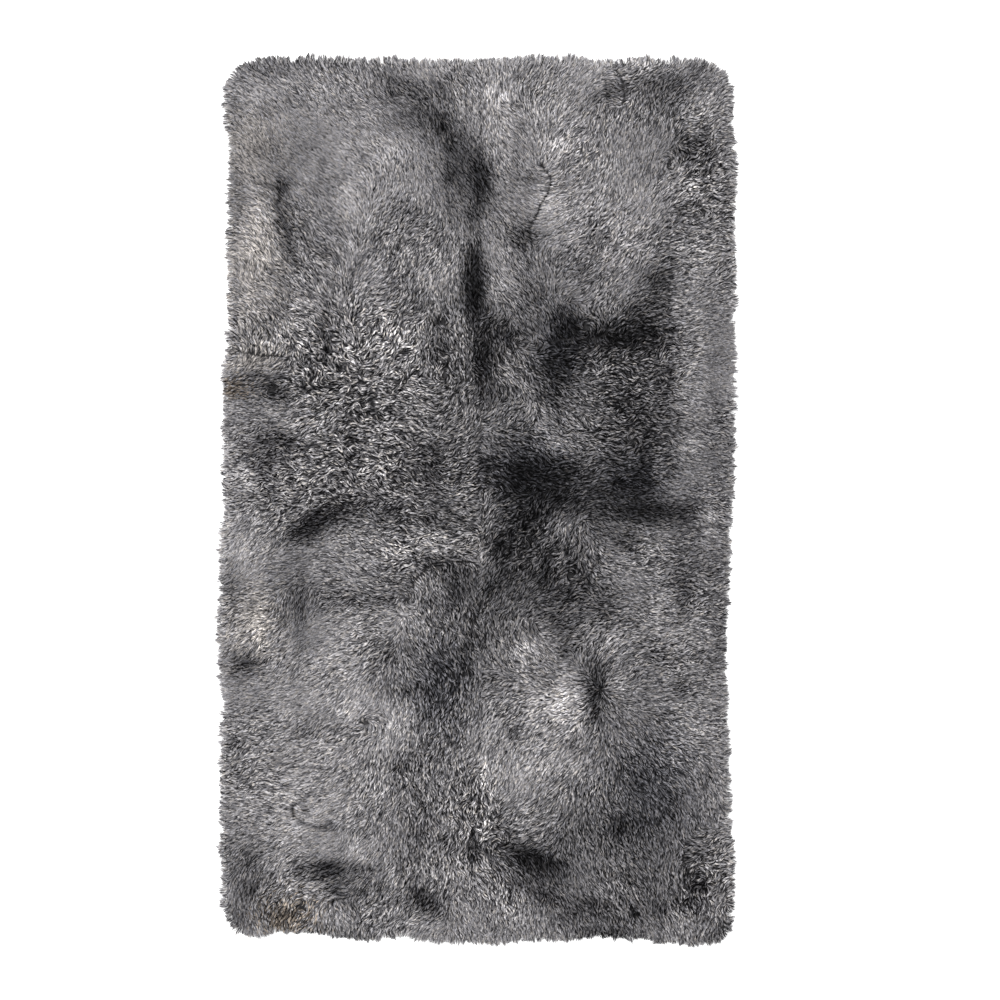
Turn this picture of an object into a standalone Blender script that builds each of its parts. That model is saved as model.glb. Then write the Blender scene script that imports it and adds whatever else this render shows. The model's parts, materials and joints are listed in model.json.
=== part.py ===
# A fur rug sewn from sheepskins, lying flat on the floor.
#
# Four skins meet at a centre seam and at two cross seams, and three gussets fill
# the waists at the sides. Each panel is one lumpy slab of wool on its hide. Where
# a panel reaches the rug's rim, locks of wool stand out from it along the floor.
# Metres, +Z up, the rug's length along Y, the floor at z = 0.

import math

import bmesh
import bpy
from mathutils import Vector, noise

# The rug without its locks, and the height of its wool over the floor
BODY_WIDTH = 1.006
BODY_LENGTH = 1.756
CORNER_RADII = {
    "left far": 0.064, "right far": 0.062, "left near": 0.056, "right near": 0.034,
}
WOOL_HEIGHT = 0.037
RIM_HEIGHT = 0.016
RIM_ROLL = 0.085
ROLL_FULLNESS = 0.6

# Soft lumps in the wool: how wide, how high, the noise layer of each, and what is left at the rim
BROAD_LUMP_WIDTH = 0.240
BROAD_LUMP_HEIGHT = 0.005
SMALL_LUMP_WIDTH = 0.072
SMALL_LUMP_HEIGHT = 0.0045
BROAD_LUMP_LAYER = 0.31
SMALL_LUMP_LAYER = 0.77
RIM_LUMP_SHARE = 0.3

# Seams: where they run, how they sway, and the valley that each leaves in the wool
CENTRE_SEAM_X = 0.009
LEFT_CROSS_SEAM_Y = -0.009
RIGHT_CROSS_SEAM_Y = 0.017
SEAM_GAP = 0.0003
SEAM_SWAY = 0.004
SEAM_SWAY_LENGTH = 0.620
VALLEY_DEPTH = 0.006
VALLEY_WIDTH = 0.030

# Gussets at the sides: name, side (-1 left, 1 right), seam towards the middle, near and far end
GUSSETS = (
    ("gusset_left_far", -1, -0.373, LEFT_CROSS_SEAM_Y, 0.627),
    ("gusset_left_near", -1, -0.413, -0.323, LEFT_CROSS_SEAM_Y),
    ("gusset_right", 1, 0.383, RIGHT_CROSS_SEAM_Y, 0.491),
)

# How far each edge swells outwards: place along the edge, swell
SIDE_SWELLS = {
    "left": (
        (-0.90, 0.000), (-0.64, 0.008), (-0.42, 0.002), (-0.33, 0.011), (-0.10, 0.007),
        (-0.03, -0.001), (0.24, 0.001), (0.37, -0.009), (0.56, -0.010), (0.69, -0.012),
        (0.78, -0.004), (0.90, 0.000),
    ),
    "right": (
        (-0.90, 0.008), (-0.74, 0.009), (-0.64, 0.001), (-0.52, 0.000), (-0.40, -0.006),
        (-0.28, -0.007), (-0.17, -0.001), (0.08, 0.010), (0.64, 0.010), (0.90, 0.004),
    ),
    "near": (
        (-0.52, -0.003), (-0.45, -0.002), (-0.40, -0.012), (-0.33, -0.011), (-0.24, 0.001),
        (-0.15, -0.005), (-0.08, 0.006), (0.01, 0.010), (0.19, 0.000), (0.34, 0.000),
        (0.43, 0.009), (0.52, 0.010),
    ),
    "far": (
        (-0.52, 0.000), (-0.33, 0.006), (-0.14, 0.001), (-0.05, 0.002), (0.10, 0.005),
        (0.31, 0.002), (0.52, 0.000),
    ),
}
SWELL_REACH = 0.120

# Rim locks: reach from the edge, lean along it, and the shape halfway out
LOCK_REACH = 0.011
LOCK_REACH_SPREAD = 0.005
LOCK_LEAN = 0.007
LOCK_HALFWAY = 0.55
LOCK_WAIST = 0.62
LOCK_WAIST_HEIGHT = 0.72
LOCK_TIP_HEIGHT = 0.003
LOCK_NOISE_SCALE = 37.0
LEAN_NOISE_SHIFT = Vector((5.0, 9.0, 2.0))

# Larger tufts at the rim: place in x and y, reach
TUFTS = (
    (0.397, -0.878, 0.019),
    (-0.160, 0.878, 0.015),
    (-0.503, -0.255, 0.015),
    (0.503, 0.640, 0.015),
)
TUFT_RADIUS = 0.030

# Width of a cell of the grid that every panel is cut from
CELL = 0.0262

WOOL_GREY = (0.145, 0.142, 0.144, 1.0)
WOOL_ROUGHNESS = 0.9


def clear_scene():
    for thing in list(bpy.data.objects):
        bpy.data.objects.remove(thing, do_unlink=True)


def ease(t):
    t = min(max(t, 0.0), 1.0)
    return t * t * (3.0 - 2.0 * t)


def grid_lines(stops):
    """Evenly spaced lines about a cell apart that pass through every stop."""
    lines = [stops[0]]
    for start, end in zip(stops, stops[1:]):
        cells = max(1, round((end - start) / CELL))
        lines += [start + (end - start) * k / cells for k in range(1, cells + 1)]
    return lines


def rug_lines():
    seams_x = {CENTRE_SEAM_X} | {row[2] for row in GUSSETS}
    seams_y = {LEFT_CROSS_SEAM_Y, RIGHT_CROSS_SEAM_Y} | {y for row in GUSSETS for y in row[3:]}
    columns = grid_lines([-BODY_WIDTH / 2] + sorted(seams_x) + [BODY_WIDTH / 2])
    rows = grid_lines([-BODY_LENGTH / 2] + sorted(seams_y) + [BODY_LENGTH / 2])
    return columns, rows


def panel_at(x, y):
    """The name of the panel that holds a place on the flat rug."""
    for name, side, seam_x, near, far in GUSSETS:
        if (x - seam_x) * side > 0 and near < y < far:
            return name
    half = "left" if x < CENTRE_SEAM_X else "right"
    cross = LEFT_CROSS_SEAM_Y if half == "left" else RIGHT_CROSS_SEAM_Y
    return "skin_" + half + ("_far" if y > cross else "_near")


def swell(side, place):
    """The swell of one edge at a place along it, eased from row to row of its table."""
    rows = SIDE_SWELLS[side]
    for (start, low), (end, high) in zip(rows, rows[1:]):
        if place <= end:
            return low + (high - low) * ease((place - start) / (end - start))
    return rows[-1][1]


def round_corner(x, y):
    """Turn the square corner of the grid into a round one."""
    radius = CORNER_RADII[("right" if x > 0 else "left") + (" far" if y > 0 else " near")]
    start_x = BODY_WIDTH / 2 - radius
    start_y = BODY_LENGTH / 2 - radius
    across = (abs(x) - start_x) / radius
    along = (abs(y) - start_y) / radius
    if across <= 0 or along <= 0:
        return x, y
    round_across = across * math.sqrt(1.0 - along * along / 2.0)
    round_along = along * math.sqrt(1.0 - across * across / 2.0)
    return (
        math.copysign(start_x + radius * round_across, x),
        math.copysign(start_y + radius * round_along, y),
    )


def lie(x, y):
    """Where a place on the straight grid lies: round corners, uneven edges, swaying seams."""
    x, y = round_corner(x, y)
    side_share = ease((abs(x) - BODY_WIDTH / 2 + SWELL_REACH) / SWELL_REACH)
    end_share = ease((abs(y) - BODY_LENGTH / 2 + SWELL_REACH) / SWELL_REACH)
    side_swell = swell("right" if x > 0 else "left", y) * side_share
    end_swell = swell("far" if y > 0 else "near", x) * end_share
    wave = 2 * math.pi / SEAM_SWAY_LENGTH
    sway_x = SEAM_SWAY * math.sin(wave * y) * (1.0 - side_share)
    sway_y = SEAM_SWAY * math.cos(wave * x) * (1.0 - end_share)
    return (
        x + side_swell * math.copysign(1.0, x) + sway_x,
        y + end_swell * math.copysign(1.0, y) + sway_y,
    )


def rim_distance(x, y):
    """How far a place on the straight grid is from the rim."""
    return min(BODY_WIDTH / 2 - abs(x), BODY_LENGTH / 2 - abs(y))


def seam_distance(x, y):
    """How far a place on the straight grid is from the nearest seam."""
    cross = LEFT_CROSS_SEAM_Y if x < CENTRE_SEAM_X else RIGHT_CROSS_SEAM_Y
    nearest = min(abs(x - CENTRE_SEAM_X), abs(y - cross))
    for name, side, seam_x, near, far in GUSSETS:
        past_end = max(near - y, 0.0, y - far)
        nearest = min(nearest, math.hypot(x - seam_x, past_end))
        if (x - seam_x) * side > 0:
            nearest = min(nearest, abs(y - near), abs(y - far))
    return nearest


def wool_height(x, y):
    """Height of the wool over the floor: lumps, seam valleys, and the roll down to the rim."""
    broad = noise.noise(Vector((x, y, BROAD_LUMP_LAYER)) / BROAD_LUMP_WIDTH)
    small = noise.noise(Vector((x, y, SMALL_LUMP_LAYER)) / SMALL_LUMP_WIDTH)
    lumps = BROAD_LUMP_HEIGHT * 2 * broad + SMALL_LUMP_HEIGHT * 2 * small
    valley = VALLEY_DEPTH * (1.0 - ease(seam_distance(x, y) / VALLEY_WIDTH))
    inside = ease(rim_distance(x, y) / RIM_ROLL)
    low = RIM_HEIGHT + RIM_LUMP_SHARE * lumps
    high = WOOL_HEIGHT + lumps - valley
    return low + (high - low) * inside ** ROLL_FULLNESS


def grid_with_rim(columns, rows):
    """The whole rug as a flat grid, its outer edges marked as rim."""
    bm = bmesh.new()
    across = len(columns) - 1
    along = len(rows) - 1
    bmesh.ops.create_grid(bm, x_segments=across, y_segments=along, size=1.0)
    for vert in bm.verts:
        column = round((vert.co.x + 1.0) / 2.0 * across)
        row = round((vert.co.y + 1.0) / 2.0 * along)
        vert.co = (columns[column], rows[row], 0.0)
    rim = bm.edges.layers.int.new("rim")
    for edge in bm.edges:
        edge[rim] = int(edge.is_boundary)
    return bm, rim


def open_seams(bm):
    """Draw each border of the panel in by half the seam gap."""
    pulls = []
    for vert in bm.verts:
        centres = [face.calc_center_median() for face in vert.link_faces]
        pull = []
        for axis in (0, 1):
            balance = sum(math.copysign(1, centre[axis] - vert.co[axis]) for centre in centres)
            pull.append(math.copysign(SEAM_GAP / 2, balance) if balance else 0.0)
        pulls.append(pull)
    for vert, (pull_x, pull_y) in zip(bm.verts, pulls):
        vert.co.x += pull_x
        vert.co.y += pull_y


def close_below(bm):
    """Wall the border down to the floor and close it there with one flat face."""
    border = [edge for edge in bm.edges if edge.is_boundary]
    walls = bmesh.ops.extrude_edge_only(bm, edges=border)["geom"]
    for vert in walls:
        if isinstance(vert, bmesh.types.BMVert):
            vert.co.z = 0.0
    foot = [edge for edge in bm.edges if edge.is_boundary]
    bmesh.ops.contextual_create(bm, geom=foot)
    bmesh.ops.recalc_face_normals(bm, faces=bm.faces[:])
    return [face for face in walls if isinstance(face, bmesh.types.BMFace)]


def grow_lock(bm, wall):
    """A four-sided lock that narrows from a stretch of wall to a tip just over the floor."""
    outward = Vector((wall.normal.x, wall.normal.y, 0.0)).normalized()
    along = Vector((-outward.y, outward.x, 0.0))
    root = wall.calc_center_median()
    chance = noise.noise(root * LOCK_NOISE_SCALE)
    reach = LOCK_REACH + LOCK_REACH_SPREAD * 2 * chance
    for tuft_x, tuft_y, tuft_reach in TUFTS:
        if math.hypot(root.x - tuft_x, root.y - tuft_y) < TUFT_RADIUS:
            reach = tuft_reach
    lean = LOCK_LEAN * 2 * noise.noise(root * LOCK_NOISE_SCALE + LEAN_NOISE_SHIFT)
    waist = bmesh.ops.extrude_discrete_faces(bm, faces=[wall])["faces"][0]
    step = (outward * reach + along * lean) * LOCK_HALFWAY
    for vert in waist.verts:
        offset = vert.co - root
        flat = Vector((offset.x, offset.y, 0.0)) * LOCK_WAIST
        vert.co = Vector((root.x, root.y, vert.co.z * LOCK_WAIST_HEIGHT)) + flat + step
    tip = bmesh.ops.poke(bm, faces=[waist])["verts"][0]
    tip.co = Vector((root.x, root.y, LOCK_TIP_HEIGHT)) + outward * reach + along * lean


def panel_mesh(name, columns, rows):
    bm, rim = grid_with_rim(columns, rows)
    others = [face for face in bm.faces if panel_at(*face.calc_center_median().xy) != name]
    bmesh.ops.delete(bm, geom=others, context="FACES")
    open_seams(bm)
    for vert in bm.verts:
        flat_x, flat_y = vert.co.xy
        x, y = lie(flat_x, flat_y)
        vert.co = (x, y, wool_height(flat_x, flat_y))
    walls = close_below(bm)
    for wall in [face for face in walls if any(edge[rim] for edge in face.edges)]:
        grow_lock(bm, wall)
    mesh = bpy.data.meshes.new(name)
    bm.to_mesh(mesh)
    bm.free()
    return mesh


def centre_on_floor(pieces):
    """Shift the panels so that the rug's box is centred on the origin."""
    points = [vert.co for piece in pieces for vert in piece.data.vertices]
    middle_x = (min(p.x for p in points) + max(p.x for p in points)) / 2
    middle_y = (min(p.y for p in points) + max(p.y for p in points)) / 2
    for piece in pieces:
        for vert in piece.data.vertices:
            vert.co -= Vector((middle_x, middle_y, 0.0))


def wool_material():
    material = bpy.data.materials.new("grey sheep wool")
    material.use_nodes = True
    shader = material.node_tree.nodes["Principled BSDF"]
    shader.inputs["Base Color"].default_value = WOOL_GREY
    shader.inputs["Roughness"].default_value = WOOL_ROUGHNESS
    shader.inputs["Metallic"].default_value = 0.0
    return material


def build_rug():
    clear_scene()
    collection = bpy.data.collections.new("fur rug")
    bpy.context.scene.collection.children.link(collection)
    wool = wool_material()
    columns, rows = rug_lines()
    skins = ["skin_left_far", "skin_right_far", "skin_left_near", "skin_right_near"]
    pieces = []
    for name in skins + [row[0] for row in GUSSETS]:
        mesh = panel_mesh(name, columns, rows)
        mesh.materials.append(wool)
        piece = bpy.data.objects.new(name, mesh)
        collection.objects.link(piece)
        pieces.append(piece)
    centre_on_floor(pieces)


build_rug()
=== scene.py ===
# Fur rug of sewn sheepskins: four skins and three gussets, with the wool combed and left to curl.
# Places on the rug are in centimetres from its middle, x to the right and y away from the viewer.
# Headings are in degrees, turning left from the x axis. All other sizes are in metres.
# A noise is given by its width and its seed, and by its strength where it has one.
import json
import math

import bmesh
import bpy
import numpy as np
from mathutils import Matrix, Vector
from mathutils.bvhtree import BVHTree
from mathutils.kdtree import KDTree

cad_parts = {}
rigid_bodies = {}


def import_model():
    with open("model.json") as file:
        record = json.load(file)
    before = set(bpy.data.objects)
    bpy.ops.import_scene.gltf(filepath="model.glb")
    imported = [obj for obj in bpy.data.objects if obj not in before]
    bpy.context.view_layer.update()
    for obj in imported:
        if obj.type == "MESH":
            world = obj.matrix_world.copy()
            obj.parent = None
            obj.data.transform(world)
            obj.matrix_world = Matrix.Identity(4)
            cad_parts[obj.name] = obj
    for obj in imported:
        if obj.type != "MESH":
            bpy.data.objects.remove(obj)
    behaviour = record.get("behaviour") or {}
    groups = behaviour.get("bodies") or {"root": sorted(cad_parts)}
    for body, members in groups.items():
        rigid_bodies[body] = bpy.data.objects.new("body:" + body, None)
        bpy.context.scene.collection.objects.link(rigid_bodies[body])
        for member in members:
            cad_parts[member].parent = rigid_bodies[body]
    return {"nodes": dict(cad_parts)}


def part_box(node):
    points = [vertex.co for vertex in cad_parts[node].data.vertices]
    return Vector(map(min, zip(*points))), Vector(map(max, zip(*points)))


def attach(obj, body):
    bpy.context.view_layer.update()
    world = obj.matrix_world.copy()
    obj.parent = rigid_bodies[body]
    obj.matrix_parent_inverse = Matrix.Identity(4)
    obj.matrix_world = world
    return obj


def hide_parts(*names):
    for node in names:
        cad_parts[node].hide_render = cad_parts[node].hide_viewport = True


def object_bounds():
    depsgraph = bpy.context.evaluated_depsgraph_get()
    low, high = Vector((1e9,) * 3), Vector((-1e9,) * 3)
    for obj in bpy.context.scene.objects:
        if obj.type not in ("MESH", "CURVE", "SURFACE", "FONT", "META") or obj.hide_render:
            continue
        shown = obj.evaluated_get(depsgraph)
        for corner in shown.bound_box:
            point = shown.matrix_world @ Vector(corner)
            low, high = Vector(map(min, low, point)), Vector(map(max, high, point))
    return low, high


for leftover in list(bpy.data.objects):
    bpy.data.objects.remove(leftover)

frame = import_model()
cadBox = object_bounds()
cm = 0.01

panels = [
    "skin_left_far",
    "skin_right_far",
    "skin_left_near",
    "skin_right_near",
    "gusset_left_far",
    "gusset_left_near",
    "gusset_right",
]

view = {
    "centre": (0.047, 0.001),
    "shownWidth": 2.0,
    "woolTop": 0.035,
    "lens": 85.0,
    "sensor": 36.0,
    "clipEnd": 50.0,
}


def placed(name, data):
    made = bpy.data.objects.new(name, data)
    bpy.context.scene.collection.objects.link(made)
    return made


def placeCamera():
    cameraData = bpy.data.cameras.new("overhead_camera")
    cameraData.lens = view["lens"]
    cameraData.sensor_width = view["sensor"]
    cameraData.clip_end = view["clipEnd"]
    camera = placed("overhead_camera", cameraData)
    distance = view["shownWidth"] * view["lens"] / view["sensor"]
    camera.location = (*view["centre"], view["woolTop"] + distance)
    bpy.context.scene.camera = camera


placeCamera()
print("camera placed")


def toLinear(hexColour):
    channels = []
    for start in (1, 3, 5):
        value = int(hexColour[start:start + 2], 16) / 255
        channels.append(value / 12.92 if value <= 0.04045 else ((value + 0.055) / 1.055) ** 2.4)
    return (*channels, 1.0)


def addNode(tree, kind, settings=None, links=None):
    node = tree.nodes.new(kind)
    for key, value in (settings or {}).items():
        if key == "stops":
            ramp = node.color_ramp
            while len(ramp.elements) < len(value):
                ramp.elements.new(1.0)
            for element, (position, hexColour) in zip(ramp.elements, value):
                element.position = position
                element.color = toLinear(hexColour)
        elif key == "interpolation":
            node.color_ramp.interpolation = value
        elif isinstance(key, int) or key in node.inputs:
            node.inputs[key].default_value = value
        else:
            setattr(node, key, value)
    for key, socket in (links or {}).items():
        tree.links.new(socket, node.inputs[key])
    return node


def addRamp(tree, socket, stops, interpolation="LINEAR"):
    settings = {"stops": stops, "interpolation": interpolation}
    return addNode(tree, "ShaderNodeValToRGB", settings, {0: socket}).outputs[0]


def addMath(tree, operation, *values):
    numbers = {slot: value for slot, value in enumerate(values) if isinstance(value, (int, float))}
    sockets = {slot: value for slot, value in enumerate(values) if slot not in numbers}
    return addNode(tree, "ShaderNodeMath", {"operation": operation, **numbers}, sockets).outputs[0]


def newMaterial(name):
    material = bpy.data.materials.new(name)
    material.use_nodes = True
    material.node_tree.nodes.clear()
    return material, material.node_tree


def surfaced(material, settings, links=None):
    shader = addNode(material.node_tree, "ShaderNodeBsdfPrincipled", settings, links)
    addNode(material.node_tree, "ShaderNodeOutputMaterial", links={"Surface": shader.outputs[0]})
    return material


# The map of the rug: what lies under each point, read from the frame once and then sampled.
fieldMap = {
    "step": 0.00125,
    "margin": 0.045,
    "castHeight": 1.0,
    "lockBlur": 0.012,
    "edgeCover": 0.55,
    "edgeBlur": 0.004,
    "seamWander": ((0.006, 91, 0.0035), (0.006, 92, 0.0035)),
}


class RugMap:
    def __init__(self):
        low, high = (np.array(corner) for corner in cadBox)
        self.step = fieldMap["step"]
        self.origin = low[:2] - fieldMap["margin"]
        size = (high[:2] - low[:2] + 2 * fieldMap["margin"]) / self.step
        self.columns, self.rows = (int(count) + 1 for count in size)
        xs = self.origin[0] + self.step * np.arange(self.columns)
        ys = self.origin[1] + self.step * np.arange(self.rows)
        self.x, self.y = np.meshgrid(xs, ys)
        self.castDown()
        self.findOutline()
        self.wander = [self.noise(*noise) for noise in fieldMap["seamWander"]]

    def castDown(self):
        corners, faces, owners = [], [], []
        for index, name in enumerate(panels):
            mesh = frame["nodes"][name].data
            start = len(corners)
            corners.extend(vertex.co.copy() for vertex in mesh.vertices)
            for face in mesh.polygons:
                faces.append([start + corner for corner in face.vertices])
                owners.append(index)
        tree = BVHTree.FromPolygons(corners, faces)
        self.rawHeight = np.zeros_like(self.x)
        self.panel = np.full(self.x.shape, -1)
        down = Vector((0, 0, -1))
        for cell in np.ndindex(self.x.shape):
            above = Vector((self.x[cell], self.y[cell], fieldMap["castHeight"]))
            place, _, face, _ = tree.ray_cast(above, down)
            if place is not None:
                self.rawHeight[cell] = place.z
                self.panel[cell] = owners[face]

    def blurred(self, field, width):
        rows = np.fft.fftfreq(self.rows)[:, None]
        columns = np.fft.rfftfreq(self.columns)[None, :]
        spread = 2 * (math.pi * width / self.step) ** 2
        return np.fft.irfft2(np.fft.rfft2(field) * np.exp(-spread * (rows**2 + columns**2)), s=field.shape)

    def noise(self, width, seed, strength=1.0):
        grain = np.random.default_rng(seed).standard_normal(self.x.shape)
        soft = self.blurred(grain, width)
        return strength * (soft / soft.std())

    def findOutline(self):
        # The body's edge, with the locks at the rim averaged out, and the distance to it, inside negative.
        soft = self.blurred((self.panel >= 0).astype(float), fieldMap["lockBlur"]) - fieldMap["edgeCover"]
        crossings = []
        for shiftRow, shiftColumn in ((0, 1), (1, 0)):
            here = soft[:self.rows - shiftRow, :self.columns - shiftColumn]
            there = soft[shiftRow:, shiftColumn:]
            rows, columns = np.nonzero(here * there < 0)
            share = here[rows, columns] / (here[rows, columns] - there[rows, columns])
            x = self.x[rows, columns] + share * shiftColumn * self.step
            y = self.y[rows, columns] + share * shiftRow * self.step
            crossings.extend(zip(x, y))
        tree = KDTree(len(crossings))
        for index, (x, y) in enumerate(crossings):
            tree.insert((x, y, 0), index)
        tree.balance()
        distances = [tree.find((x, y, 0))[2] for x, y in zip(self.x.ravel(), self.y.ravel())]
        distance = np.array(distances).reshape(self.x.shape)
        self.edge = self.blurred(np.where(soft > 0, -distance, distance), fieldMap["edgeBlur"])
        slopeY, slopeX = np.gradient(self.edge, self.step)
        self.out = np.stack((slopeX, slopeY)) / np.maximum(np.hypot(slopeX, slopeY), 1e-6)

    def gridPlaces(self, places, spare):
        # Columns and rows with their fractions, kept short of the last one by what is to spare.
        sides = enumerate((self.columns, self.rows))
        return [np.clip((places[..., i] - self.origin[i]) / self.step, 0, side - spare) for i, side in sides]

    def sample(self, field, places):
        column, row = self.gridPlaces(places, 1.001)
        left, low = column.astype(int), row.astype(int)
        across, up = column - left, row - low
        near = field[low, left] * (1 - across) + field[low, left + 1] * across
        far = field[low + 1, left] * (1 - across) + field[low + 1, left + 1] * across
        return near * (1 - up) + far * up

    def sampleBoth(self, fields, places):
        return np.stack([self.sample(field, places) for field in fields], axis=-1)

    def panelAt(self, places):
        column, row = self.gridPlaces(places, 1)
        return self.panel[np.rint(row).astype(int), np.rint(column).astype(int)]


rug = RugMap()
print("rug map cast:", rug.columns, "by", rug.rows)


def spots(halfLength, halfWidth, depth, *places):
    # Ovals of one size that lie along the x axis, as rows of a table.
    return [(x, y, halfLength, halfWidth, depth) for x, y in places]


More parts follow.
